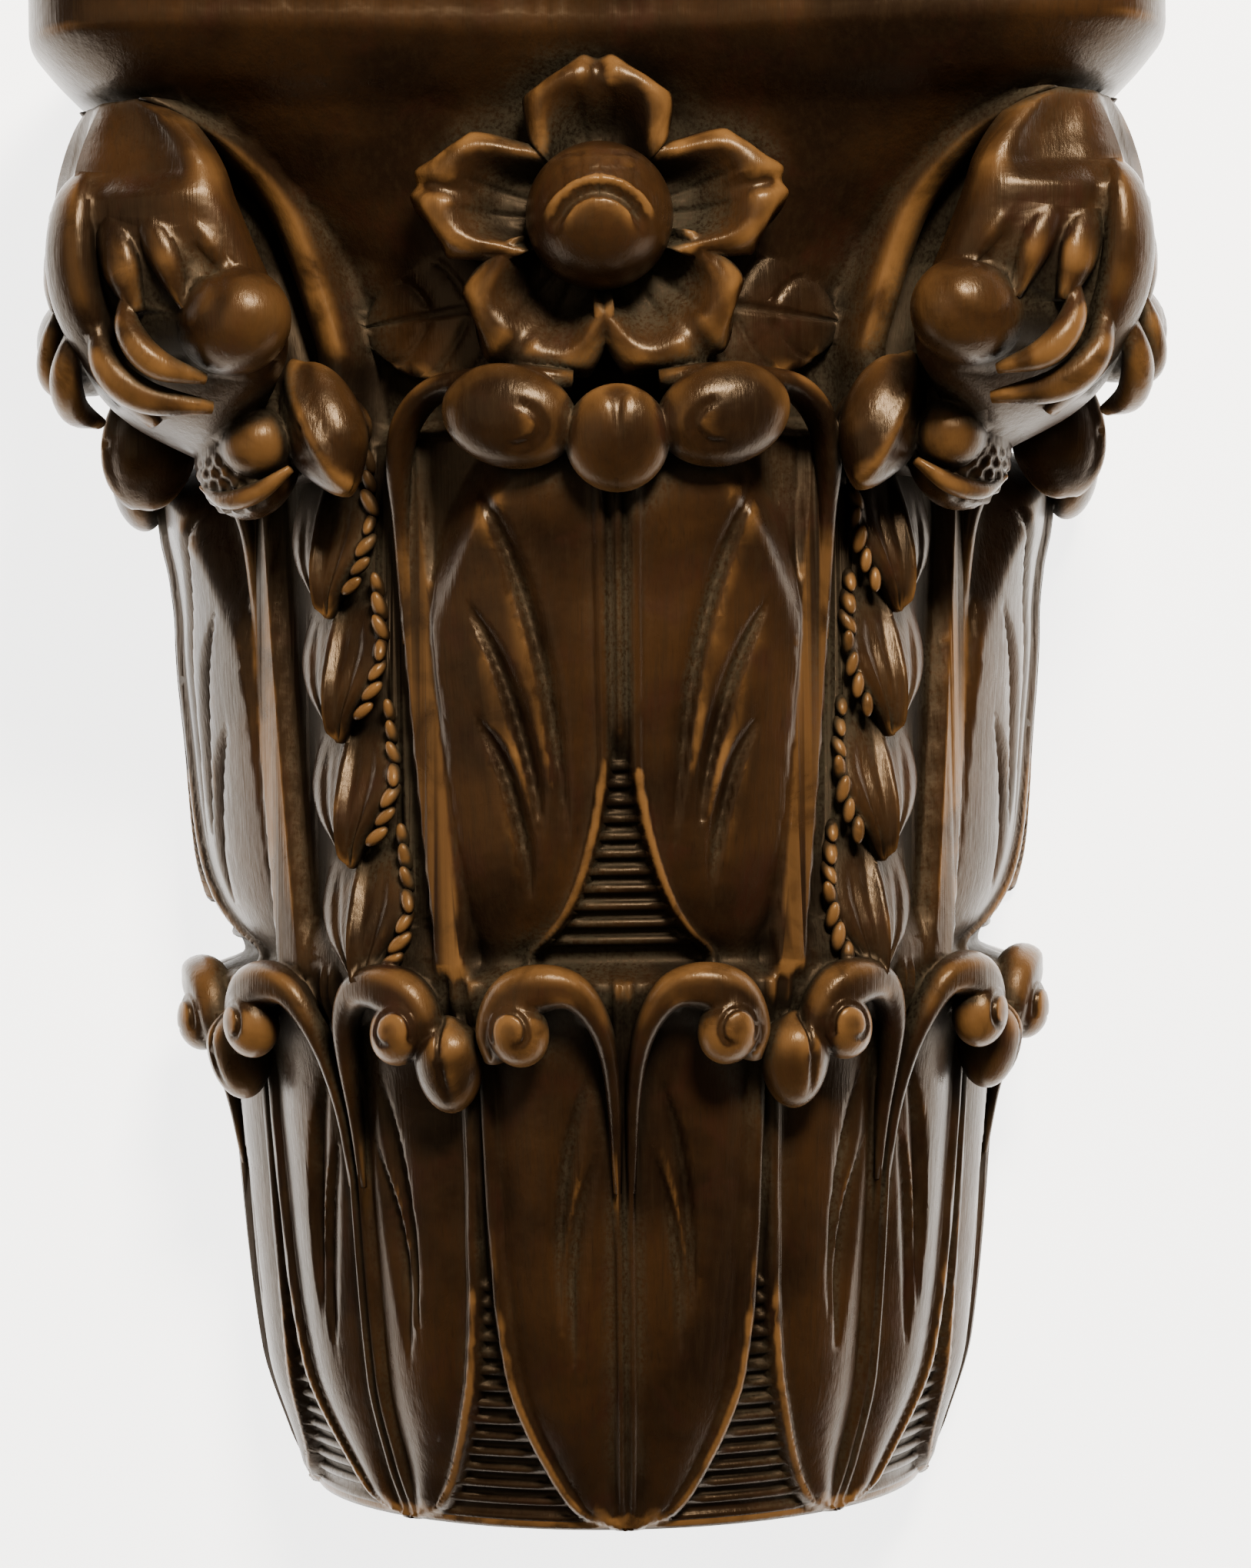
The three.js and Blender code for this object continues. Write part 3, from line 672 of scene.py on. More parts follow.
def corner_leaf(side):
    """It rises up the bell, arches out under the abacus and hangs its lobed tip before a deep hollow."""
    fine = catmull(CORNER_SECTIONS, 80)
    thickness = 15
    rings = []
    for z, border, border_angle, hollow, core_angle, share, from_angle in fine:
        tip_half = CORNER - from_angle
        near = square_plan(from_angle, share * ABACUS)
        core = min(core_angle, 0.9 * tip_half)
        inner = max(border_angle - CORNER_RIM, core_angle + 0.3)
        scoop = 7.0 * smooth_step(neck(0.5), neck(0.6), z) * smooth_step(neck(0.86), neck(0.66), z)
        half = [
            [border_angle + 0.5, border - 24],
            [border_angle + 0.4, border - 5],
            [border_angle, border + 2.2],
            [border_angle - 0.4, border + 3.4],
            [0.5 * (border_angle + inner), border + 3.9],
            [inner + 0.3, border + 3.2],
            [inner, border + 1.8],
            [0.5 * (inner + core_angle), 0.5 * (border + hollow) - 2.5],
            [core_angle, hollow],
            [core, 0.55 * hollow + 0.45 * near],
            [core, near - thickness],
            [0.6 * tip_half + 0.4 * core, near - thickness - 0.5],
            [tip_half, near - 0.7 * thickness],
            [tip_half + 0.3, near - 0.3 * thickness],
            [0.97 * tip_half, near - 0.5],
            [0.8 * tip_half, square_plan(CORNER - 0.8 * tip_half, share * ABACUS) - 0.6 * scoop],
            [0.55 * tip_half, square_plan(CORNER - 0.55 * tip_half, share * ABACUS) - scoop],
            [0.3 * tip_half, square_plan(CORNER - 0.3 * tip_half, share * ABACUS) - 0.6 * scoop],
        ]
        first = [[-angle, radius] for angle, radius in half]
        crown = [[0, square_plan(CORNER, share * ABACUS)]]
        outline = np.array(first + crown + half[::-1])
        rings.append(spot(side * (CORNER + outline[:, 0]), z, outline[:, 1]))
    if side < 0:
        rings = [ring[::-1] for ring in rings]
    parts = [loft(rings)]

    def pores(x, y, out):
        from_ring = np.abs(np.hypot(x + 0.25, y - 0.3) - 0.6)
        return 0.05 * smooth_step(0.12, 0.0, from_ring) * smooth_step(0.2, 0.6, out)

    from_corner = 10.6
    ball = (15.6, 13.6, 12.6)
    for way in (-1, 1):
        parts.append(lump(side * (CORNER + way * from_corner), neck(0.155), 160.0, ball, carve=pores))
    facets_above_ball = [
        [[121, 139, 125, 1.0, 1.2], [120, 128, 131, 4.4, 3.2], [117, 116, 134.5, 5.6, 4.2],
         [113, 105, 135, 1.4, 2.4]],
        [[116, 141, 127, 0.8, 1.2], [111, 129, 134, 3.6, 3.4], [106, 118, 136.5, 4.6, 4.2],
         [101, 106, 136, 1.2, 2.4]],
        [[112, 142, 127, 0.8, 1.2], [104, 132, 134, 3.4, 3.4], [96, 122, 136, 4.2, 4.2],
         [88, 112, 135, 1.2, 2.4]],
    ]
    folds_under_ball = [
        [[116, 110, 134, 1.0, 1.6], [115, 100, 137, 3.4, 3.6], [108.5, 92, 138, 3.8, 3.8],
         [97, 88.5, 134, 1.4, 2.0]],
        [[124, 106, 129, 1.0, 1.6], [121.5, 92.5, 133, 4.0, 3.8], [112, 84.5, 133, 4.2, 4.0],
         [96, 82, 129, 1.6, 2.2]],
    ]
    for stations in facets_above_ball + folds_under_ball:
        parts += [sweep(path, steps=28, sides=18) for path in on_tip(side, stations)]
    hanging_tip = [
        [side * CORNER, neck(0.60), 178, 3.0, 2.4],
        [side * CORNER, neck(0.5), 182.5, 6.0, 4.4],
        [side * CORNER, neck(0.34), 184.0, 7.4, 5.0],
        [side * CORNER, neck(0.18), 180.5, 7.4, 5.0],
        [side * CORNER, neck(0.02), 171.0, 5.6, 4.6],
        [side * CORNER, neck(-0.1), 158.0, 3.0, 3.2],
    ]
    parts.append(sweep(hanging_tip, boxy=0.8))
    return parts


# The flower

FLOWER_Z = neck(0.45)
FLOWER_OUT = NECK_DEPTH + 21


def flower_ball():
    def lattice(x, y, out):
        upright_lines = smooth_step(0.3, 0.0, np.abs(np.sin(13 * x)))
        level_lines = smooth_step(0.3, 0.0, np.abs(np.sin(13 * y)))
        fine = 0.016 * (upright_lines + level_lines) * smooth_step(0.05, 0.2, y)
        fine = fine * smooth_step(0.62, 0.5, np.abs(x)) * smooth_step(0.3, 0.5, out)
        drop = np.hypot(x, y + 0.42)
        moat = 0.09 * smooth_step(0.12, 0.0, np.abs(drop - 0.6)) * smooth_step(-0.2, 0.1, y + 0.2)
        lip = -0.06 * smooth_step(0.08, 0.0, np.abs(drop - 0.76)) * smooth_step(-0.1, 0.15, y + 0.1)
        return fine + moat + lip

    return lump(0, FLOWER_Z, FLOWER_OUT, (18.2, 18.2, 18.2), carve=lattice, columns=110, rows=80)


def petal(heading, reach, half_width, tilt_out):
    """A cupped petal with a thick rolled rim in two lobes and cuts that fan from its heart."""
    lengthwise = np.linspace(0, 1, 44)[:, None]
    across = np.linspace(-1, 1, 45)[None, :]
    start, length = 10.0, reach - 10.0
    width = half_width * read([[0, 0.6], [0.3, 0.95], [0.62, 1.04], [0.86, 0.95], [1, 0.68]], lengthwise)
    notch = 0.05 * smooth_step(0.35, 0.0, np.abs(across)) * smooth_step(0.7, 1.0, lengthwise)
    bow = 0.22 * across**2 * smooth_step(0.6, 1.0, lengthwise)
    forward = start + length * (lengthwise - notch - bow)
    sideways = np.abs(0.97 * across) ** 4 * smooth_step(0.0, 0.4, lengthwise)
    edge = (np.clip(lengthwise, 0, 1) ** 4 + sideways) ** 0.25
    past_crest = np.maximum(edge - 0.76, 0) / 0.26
    puff = smooth_step(0.34, 0.76, edge) * np.sqrt(np.clip(1 - past_crest**2, 0, 1))
    height = 2.6 + 8.6 * puff
    middle = smooth_step(0.24, 0.0, np.abs(across))
    height = height - 1.5 * middle * smooth_step(0.4, 0.75, lengthwise) * puff
    for place in (-0.26, 0.2):
        line = np.abs(across - place * (0.5 + 0.8 * lengthwise))
        height = height - 0.8 * smooth_step(0.1, 0.0, line) * smooth_step(0.8, 0.45, lengthwise)
    height = height + tilt_out * lengthwise
    front = np.stack(np.broadcast_arrays(across * width, forward, height), axis=-1)
    shorter = start + (forward - start) * 0.94
    under = np.stack(np.broadcast_arrays(across * width * 0.8, shorter, -9.0 + 0 * height), axis=-1)
    rings = np.concatenate([front, under[:, ::-1]], axis=1)
    turn = math.radians(heading)
    x = rings[..., 0] * math.cos(turn) + rings[..., 1] * math.sin(turn)
    rise = -rings[..., 0] * math.sin(turn) + rings[..., 1] * math.cos(turn)
    placed = np.stack([x, -(FLOWER_OUT - 11) - rings[..., 2], FLOWER_Z + rise], axis=-1)
    return loft(placed[:, ::-1])


def flower():
    petals = [
        petal(0, 40.5, 18, 5),
        petal(79, 48, 15.5, 1.0),
        petal(142, 45.5, 18.5, -1.5),
        petal(-146, 45.5, 18.5, -1.5),
        petal(-79, 48, 15.5, 1.0),
    ]
    return [flower_ball()] + petals


def flower_leaf(side):
    """A flat toothed leaf behind the flower with a midrib and curved veins."""
    lengthwise = np.linspace(0, 1, 48)[:, None]
    across = np.linspace(-1, 1, 33)[None, :]
    width = 18.5 * read([[0, 0.7], [0.35, 1.0], [0.7, 0.78], [0.92, 0.35], [1, 0.04]], lengthwise)
    teeth = 0.05 * np.sin(2 * np.pi * 5 * lengthwise) * smooth_step(0.6, 1, np.abs(across))
    sway = across * width * (1 + teeth * smooth_step(0, 0.2, across))
    forward = 16 + 45 * lengthwise
    height = 2.6 - 0.9 * across**2 + 0 * lengthwise
    height = height - 1.1 * smooth_step(0.08, 0.0, np.abs(across))
    for k in range(3):
        vein = np.abs(lengthwise - 0.15 - 0.22 * k - 0.25 * np.abs(across) ** 1.5)
        height = height - 0.9 * smooth_step(0.03, 0.0, vein) * smooth_step(0.08, 0.2, np.abs(across))
    x = side * forward
    rise = neck(0.235) - 0.10 * (forward - 16) + sway
    angle = np.degrees(np.arcsin(x / (NECK_DEPTH + 3)))
    front = spot(angle, rise, NECK_DEPTH + 3 + height)
    under = spot(angle, rise, NECK_DEPTH - 6 + 0 * height)
    rings = np.concatenate([front, under[:, ::-1]], axis=1)
    if side > 0:
        rings = rings[:, ::-1]
    return loft(rings)


# Joining

def mesh_object(name, shape):
    """An object from a shape's points, in metres, and faces."""
    points, groups = shape
    mesh = bpy.data.meshes.new(name)
    faces = [tuple(int(v) for v in face) for group in groups for face in group]
    mesh.from_pydata((np.asarray(points) * MM).tolist(), [], faces)
    mesh.update()
    piece = bpy.data.objects.new(name, mesh)
    bpy.context.scene.collection.objects.link(piece)
    return piece


def signed_volume(piece):
    mesh = piece.data
    mesh.calc_loop_triangles()
    count = len(mesh.loop_triangles)
    corners = np.empty(count * 3, dtype=np.int32)
    mesh.loop_triangles.foreach_get("vertices", corners)
    points = np.empty(len(mesh.vertices) * 3)
    mesh.vertices.foreach_get("co", points)
    a, b, c = (points.reshape(-1, 3)[corners.reshape(-1, 3)[:, k]] for k in range(3))
    return (a * np.cross(b, c)).sum() / 6


def right_side_out(piece):
    if signed_volume(piece) < 0:
        piece.data.flip_normals()


def join_all(name, shapes, pieces):
    """One closed body from overlapping closed shapes and finished pieces."""
    body = mesh_object(name, shapes[0])
    right_side_out(body)
    others = bpy.data.collections.new("to join")
    for i, shape in enumerate(shapes[1:]):
        part = mesh_object(f"{name} part {i}", shape)
        right_side_out(part)
        bpy.context.scene.collection.objects.unlink(part)
        others.objects.link(part)
    for piece in pieces:
        right_side_out(piece)
        bpy.context.scene.collection.objects.unlink(piece)
        others.objects.link(piece)
    union = body.modifiers.new("union", "BOOLEAN")
    union.operation = "UNION"
    union.operand_type = "COLLECTION"
    union.collection = others
    union.solver = "MANIFOLD"
    bake(body)
    for part in list(others.objects):
        bpy.data.objects.remove(part)
    bpy.data.collections.remove(others)
    return body


def bake(piece):
    """Its live modifiers become its mesh."""
    graph = bpy.context.evaluated_depsgraph_get()
    graph.update()
    done = bpy.data.meshes.new_from_object(piece.evaluated_get(graph))
    piece.modifiers.clear()
    old = piece.data
    piece.data = done
    bpy.data.meshes.remove(old)


def cut_at_wall(body):
    reach = 3 * ABACUS
    half = np.array([reach, reach / 2, 2 * TOP])
    corners = np.array([[x, y, z] for z in (-1, 1) for y in (-1, 1) for x in (-1, 1)])
    corners = corners * half + [0, reach / 2, 0]
    ring = [0, 1, 3, 2]
    rings = np.array([corners[ring], corners[[4 + k for k in ring]]])
    wall = mesh_object("beyond the wall", loft(rings))
    right_side_out(wall)
    cut = body.modifiers.new("cut", "BOOLEAN")
    cut.operation = "DIFFERENCE"
    cut.object = wall
    cut.solver = "MANIFOLD"
    bake(body)
    bpy.data.objects.remove(wall)


def carved_shapes(step):
    shapes = [block_body(step)]
    for stem in (-PITCH, 0, PITCH):
        for way in (-1, 1):
            shapes += lower_hook(stem, way)
    for side in (-1, 1):
        shapes += lower_hook(2 * side * PITCH, -side)
        shapes += lower_tongue(0.55 * side * PITCH) + lower_tongue(1.5 * side * PITCH)
        shapes += berry_cluster(side) + corner_leaf(side)
        shapes += upper_curl(2 * side * PITCH, [-side])
        shapes.append(flower_leaf(side))
    shapes += upper_curl(0, [-1, 1])
    shapes += flower()
    return shapes


# Geometry Nodes for what repeats

def geometry_tree(name, numbers):
    """A tree with a Geometry input, named number inputs with their defaults, and a Material input."""
    tree = bpy.data.node_groups.new(name, "GeometryNodeTree")
    tree.interface.new_socket(name="Geometry", in_out="OUTPUT", socket_type="NodeSocketGeometry")
    tree.interface.new_socket(name="Geometry", in_out="INPUT", socket_type="NodeSocketGeometry")
    for label, kind, value in numbers:
        socket = tree.interface.new_socket(name=label, in_out="INPUT", socket_type=kind)
        socket.default_value = value
    tree.interface.new_socket(name="Material", in_out="INPUT", socket_type="NodeSocketMaterial")
    return tree, tree.nodes.new("NodeGroupInput"), tree.nodes.new("NodeGroupOutput")


def end_tree(tree, start, finish, made):
    """Every tree ends in real geometry with its material."""
    realize = tree.nodes.new("GeometryNodeRealizeInstances")
    coat = tree.nodes.new("GeometryNodeSetMaterial")
    tree.links.new(made, realize.inputs["Geometry"])
    tree.links.new(realize.outputs["Geometry"], coat.inputs["Geometry"])
    tree.links.new(start.outputs["Material"], coat.inputs["Material"])
    tree.links.new(coat.outputs["Geometry"], finish.inputs["Geometry"])


def husk_strip_tree():
    """Repeats its own mesh down a strip."""
    tree, start, finish = geometry_tree(
        "husks down the strip",
        [("Husks", "NodeSocketInt", HUSKS), ("Step", "NodeSocketFloat", HUSK_STEP * MM),
         ("Turn", "NodeSocketFloat", 0.0)],
    )
    number = tree.nodes.new("GeometryNodeInputIndex")
    turn = tree.nodes.new("ShaderNodeMath")
    turn.operation = "MULTIPLY"
    spin = tree.nodes.new("ShaderNodeCombineXYZ")
    facing = tree.nodes.new("FunctionNodeEulerToRotation")
    down = tree.nodes.new("ShaderNodeMath")
    down.operation = "MULTIPLY"
    down.inputs[1].default_value = -1.0
    offset = tree.nodes.new("ShaderNodeCombineXYZ")
    line = tree.nodes.new("GeometryNodeMeshLine")
    line.mode = "OFFSET"
    place = tree.nodes.new("GeometryNodeInstanceOnPoints")
    tree.links.new(number.outputs["Index"], turn.inputs[0])
    tree.links.new(start.outputs["Turn"], turn.inputs[1])
    tree.links.new(turn.outputs["Value"], spin.inputs["Z"])
    tree.links.new(spin.outputs["Vector"], facing.inputs["Euler"])
    tree.links.new(facing.outputs["Rotation"], place.inputs["Rotation"])
    tree.links.new(start.outputs["Step"], down.inputs[0])
    tree.links.new(down.outputs["Value"], offset.inputs["Z"])
    tree.links.new(start.outputs["Husks"], line.inputs["Count"])
    tree.links.new(offset.outputs["Vector"], line.inputs["Offset"])
    tree.links.new(line.outputs["Mesh"], place.inputs["Points"])
    tree.links.new(start.outputs["Geometry"], place.inputs["Instance"])
    end_tree(tree, start, finish, place.outputs["Instances"])
    return tree


def rope_teeth_tree():
    """Sets small slanting teeth along each edge path."""
    tree, start, finish = geometry_tree(
        "rope teeth along the edge",
        [("Spacing", "NodeSocketFloat", 5.4 * MM), ("Tooth Length", "NodeSocketFloat", 3.7 * MM),
         ("Tooth Width", "NodeSocketFloat", 1.75 * MM), ("Slant", "NodeSocketFloat", 0.5)],
    )
    curve = tree.nodes.new("GeometryNodeMeshToCurve")
    even = tree.nodes.new("GeometryNodeResampleCurve")
    even.mode = "LENGTH"
    tangent = tree.nodes.new("GeometryNodeInputTangent")
    turn = tree.nodes.new("FunctionNodeAlignRotationToVector")
    turn.axis = "Z"
    slant = tree.nodes.new("FunctionNodeRotateRotation")
    slant.rotation_space = "LOCAL"
    lean = tree.nodes.new("ShaderNodeCombineXYZ")
    uneven = tree.nodes.new("FunctionNodeRandomValue")
    uneven.data_type = "FLOAT"
    uneven.inputs["Min"].default_value = 0.86
    uneven.inputs["Max"].default_value = 1.14
    uneven.inputs["Seed"].default_value = 4
    size = tree.nodes.new("ShaderNodeCombineXYZ")
    scaled = tree.nodes.new("ShaderNodeVectorMath")
    scaled.operation = "SCALE"
    tooth = tree.nodes.new("GeometryNodeMeshIcoSphere")
    tooth.inputs["Radius"].default_value = 1.0
    tooth.inputs["Subdivisions"].default_value = 3
    place = tree.nodes.new("GeometryNodeInstanceOnPoints")
    tree.links.new(start.outputs["Geometry"], curve.inputs["Mesh"])
    tree.links.new(curve.outputs["Curve"], even.inputs["Curve"])
    tree.links.new(start.outputs["Spacing"], even.inputs["Length"])
    tree.links.new(tangent.outputs["Tangent"], turn.inputs["Vector"])
    tree.links.new(turn.outputs["Rotation"], slant.inputs["Rotation"])
    tree.links.new(start.outputs["Slant"], lean.inputs["Y"])
    tree.links.new(lean.outputs["Vector"], slant.inputs["Rotate By"])
    tree.links.new(start.outputs["Tooth Width"], size.inputs["X"])
    tree.links.new(start.outputs["Tooth Width"], size.inputs["Y"])
    tree.links.new(start.outputs["Tooth Length"], size.inputs["Z"])
    tree.links.new(size.outputs["Vector"], scaled.inputs["Vector"])
    tree.links.new(next(s for s in uneven.outputs if s.enabled), scaled.inputs["Scale"])
    tree.links.new(even.outputs["Curve"], place.inputs["Points"])
    tree.links.new(tooth.outputs["Mesh"], place.inputs["Instance"])
    tree.links.new(slant.outputs["Rotation"], place.inputs["Rotation"])
    tree.links.new(scaled.outputs["Vector"], place.inputs["Scale"])
    end_tree(tree, start, finish, place.outputs["Instances"])
    return tree


def ladder_rib_tree():
    """Runs a rounded rib along each path."""
    tree, start, finish = geometry_tree(
        "ribs of the ladder fields",
        [("Rib Width", "NodeSocketFloat", 1.25 * MM), ("Spacing", "NodeSocketFloat", 3.0 * MM)],
    )
    curve = tree.nodes.new("GeometryNodeMeshToCurve")
    even = tree.nodes.new("GeometryNodeResampleCurve")
    even.mode = "LENGTH"
    section = tree.nodes.new("GeometryNodeCurvePrimitiveCircle")
    section.inputs["Resolution"].default_value = 10
    rib = tree.nodes.new("GeometryNodeCurveToMesh")
    rib.inputs["Fill Caps"].default_value = True
    tree.links.new(start.outputs["Geometry"], curve.inputs["Mesh"])
    tree.links.new(curve.outputs["Curve"], even.inputs["Curve"])
    tree.links.new(start.outputs["Spacing"], even.inputs["Length"])
    tree.links.new(start.outputs["Rib Width"], section.inputs["Radius"])
    tree.links.new(even.outputs["Curve"], rib.inputs["Curve"])
    tree.links.new(section.outputs["Curve"], rib.inputs["Profile Curve"])
    end_tree(tree, start, finish, rib.outputs["Mesh"])
    return tree


def path_object(name, paths):
    """Open paths as one mesh of edges, in metres."""
    points, edges = [], []
    for path in paths:
        first = len(points)
        points += (np.asarray(path) * MM).tolist()
        edges += [(first + i, first + i + 1) for i in range(len(path) - 1)]
    mesh = bpy.data.meshes.new(name)
    mesh.from_pydata(points, edges, [])
    piece = bpy.data.objects.new(name, mesh)
    bpy.context.scene.collection.objects.link(piece)
    return piece


def grown(piece, tree, wood, **sizes):
    """The piece with a tree run on it, as a plain mesh. sizes name inputs that differ from the tree's."""
    modifier = piece.modifiers.new(tree.name, "NODES")
    modifier.node_group = tree
    for item in tree.interface.items_tree:
        if item.in_out == "INPUT" and item.name == "Material":
            modifier[item.identifier] = wood
        elif item.in_out == "INPUT" and item.socket_type in ("NodeSocketFloat", "NodeSocketInt"):
            modifier[item.identifier] = sizes.get(item.name, item.default_value)
    bake(piece)
    return piece


def repeated_pieces(wood):
    """The husks, their rope teeth and the ladder ribs."""
    strips, teeth = husk_strip_tree(), rope_teeth_tree()
    pieces = [grown(path_object("ladder ribs", ladder_paths()), ladder_rib_tree(), wood)]
    for side in (-1, 1):
        husk = mesh_object("husk", one_husk(side * PITCH))
        right_side_out(husk)
        for i, one in enumerate(apart(grown(husk, strips, wood, Turn=-side * HUSK_TURN))):
            one.name = f"husk {i}"
            pieces.append(one)
        pieces.append(grown(path_object("rope teeth", husk_edges(side)), teeth, wood))
    return pieces


def apart(piece):
    """A mesh of equal shells as one object for each shell, so that overlapping shells can be joined."""
    mesh = piece.data
    size = len(mesh.vertices) // HUSKS
    points = np.array([v.co for v in mesh.vertices]) / MM
    faces = [tuple(p.vertices) for p in mesh.polygons]
    shells = []
    for i in range(HUSKS):
        own = [tuple(v - i * size for v in face) for face in faces if i * size <= face[0] < (i + 1) * size]
        shells.append(mesh_object("husk shell", (points[i * size:(i + 1) * size], [own])))
    bpy.data.objects.remove(piece)
    return shells


def thin_out(piece, limit):
    """Fewer triangles where the surface is flat."""
    count = sum(len(polygon.vertices) - 2 for polygon in piece.data.polygons)
    print("triangles before thinning", count)
    if count <= limit:
        return
    thinner = piece.modifiers.new("thinner", "DECIMATE")
    thinner.ratio = limit / count
    bake(piece)
    piece.data.validate()
    print("triangles", sum(len(polygon.vertices) - 2 for polygon in piece.data.polygons))


# Wear, dust and painted shade, read from the shape

WEAR_GAIN = 3.4
FINEST_SPACING = 0.9
BAND_WEAR = 0.8
SHADE_REACH = 0.028
SHADE_START = 0.0004
SHADE_RAYS = 22


def rubbed_bands(points):
    """1 on the flat bands that stand proud, where hands and dusters have rubbed the stain away."""
    x, y, z = points.T
    angle = np.degrees(np.arctan2(x, -y))
    reach = np.hypot(x, y)
    share = np.clip((z - ROW) / UPPER_ROW, 0, 1)
    pattern = np.abs(upright(angle - TURN * (1 - (angle / WALL) ** 2), share)) / PITCH
    from_stem = 1 - np.abs(1 - pattern)
    band = smooth_step(BAND_EDGE - 0.01, BAND_EDGE + 0.01, from_stem)
    band = band * smooth_step(STRIP_EDGE, STRIP_EDGE - 0.02, from_stem)
    band = band * smooth_step(up(0.02), up(0.1), z) * smooth_step(up(0.8), up(0.7), z)
    band = band * smooth_step(5, 3, np.abs(reach - BAND))
    front_share = 0.75
    bands = np.where(pattern < 1, front_share, 1) * band

    height, border, edge = np.array([section[:3] for section in CORNER_SECTIONS]).T
    from_corner = np.abs(np.abs(angle) - CORNER)
    outer = np.interp(z, height, edge)
    inner = outer - CORNER_RIM
    proud = reach - np.interp(z, height, border)
    rim = smooth_step(outer + 0.5, outer - 0.2, from_corner)
    rim = rim * smooth_step(inner - 0.6, inner + 0.2, from_corner)
    rim = rim * smooth_step(neck(0.0), neck(0.12), z) * smooth_step(neck(0.84), neck(0.7), z)
    rim = rim * smooth_step(-0.5, 1.5, proud) * smooth_step(9, 6, proud)
    return np.maximum(bands, rim)


def paint_wear_and_shade(piece):
    """Numbers at each vertex for the finish: raised for worn high edges, sunk for narrow hollows and shut
    for deep shade. The material darkens the colour by sunk and shut as painted shade, and settles dust by
    shut."""
    mesh = piece.data
    count = len(mesh.vertices)
    points = np.empty(count * 3)
    mesh.vertices.foreach_get("co", points)
    points = points.reshape(-1, 3)
    normals = np.empty(count * 3)
    mesh.vertex_normals.foreach_get("vector", normals)
    normals = normals.reshape(-1, 3)
    edges = np.empty(len(mesh.edges) * 2, dtype=np.int64)
    mesh.edges.foreach_get("vertices", edges)
    first, second = edges.reshape(-1, 2).T
    degree = np.bincount(first, minlength=count) + np.bincount(second, minlength=count)
    degree = np.maximum(degree, 1)[:, None]

    def relaxed(values, times):
        for _ in range(times):
            total = np.zeros_like(values)
            for k in range(values.shape[1]):
                total[:, k] = np.bincount(first, values[second, k], count)
                total[:, k] += np.bincount(second, values[first, k], count)
            values = 0.4 * values + 0.6 * total / degree
        return values

    lengths = np.linalg.norm(points[first] - points[second], axis=1) / MM
    spacing = (np.bincount(first, lengths, count) + np.bincount(second, lengths, count)) / degree[:, 0]
    near = relaxed(points, 6)
    rise = ((points - near) * normals).sum(axis=1) / MM
    bend = relaxed((rise / np.maximum(spacing, FINEST_SPACING) ** 2)[:, None], 4)[:, 0]
    high = np.clip(WEAR_GAIN * bend, -1, 1)
    surface = BVHTree.FromPolygons(points.tolist(), [tuple(p.vertices) for p in mesh.polygons])
    golden = np.pi * (3 - 5**0.5)
    index = np.arange(SHADE_RAYS)
    lift = 1 - (index + 0.5) / SHADE_RAYS
    spread = np.sqrt(1 - lift**2)
    fan = np.stack([spread * np.cos(golden * index), spread * np.sin(golden * index), lift], axis=-1)
    shut = np.zeros(count)
    for i in range(count):
        normal = Vector(normals[i])
        turn = normal.to_track_quat("Z", "Y").to_matrix()
        start = Vector(points[i]) + normal * SHADE_START
        total = 0.0
        for ray in fan:
            place, _, _, distance = surface.ray_cast(start, turn @ Vector(ray), SHADE_REACH)
            if place is not None:
                total += 1.0 - distance / SHADE_REACH
        shut[i] = total / SHADE_RAYS
    shut = relaxed(shut[:, None], 2)[:, 0]
    high = np.maximum(high, BAND_WEAR * rubbed_bands(points / MM))
    for name, values in (("raised", np.clip(high, 0, 1)), ("sunk", np.clip(-high, 0, 1)), ("shut", shut)):
        layer = mesh.attributes.new(name, "FLOAT", "POINT")
        layer.data.foreach_set("value", values.astype(np.float32))


# Materials

def node_tree(name):
    material = bpy.data.materials.new(name)
    material.use_nodes = True
    tree = material.node_tree
    tree.nodes.clear()
    return material, tree


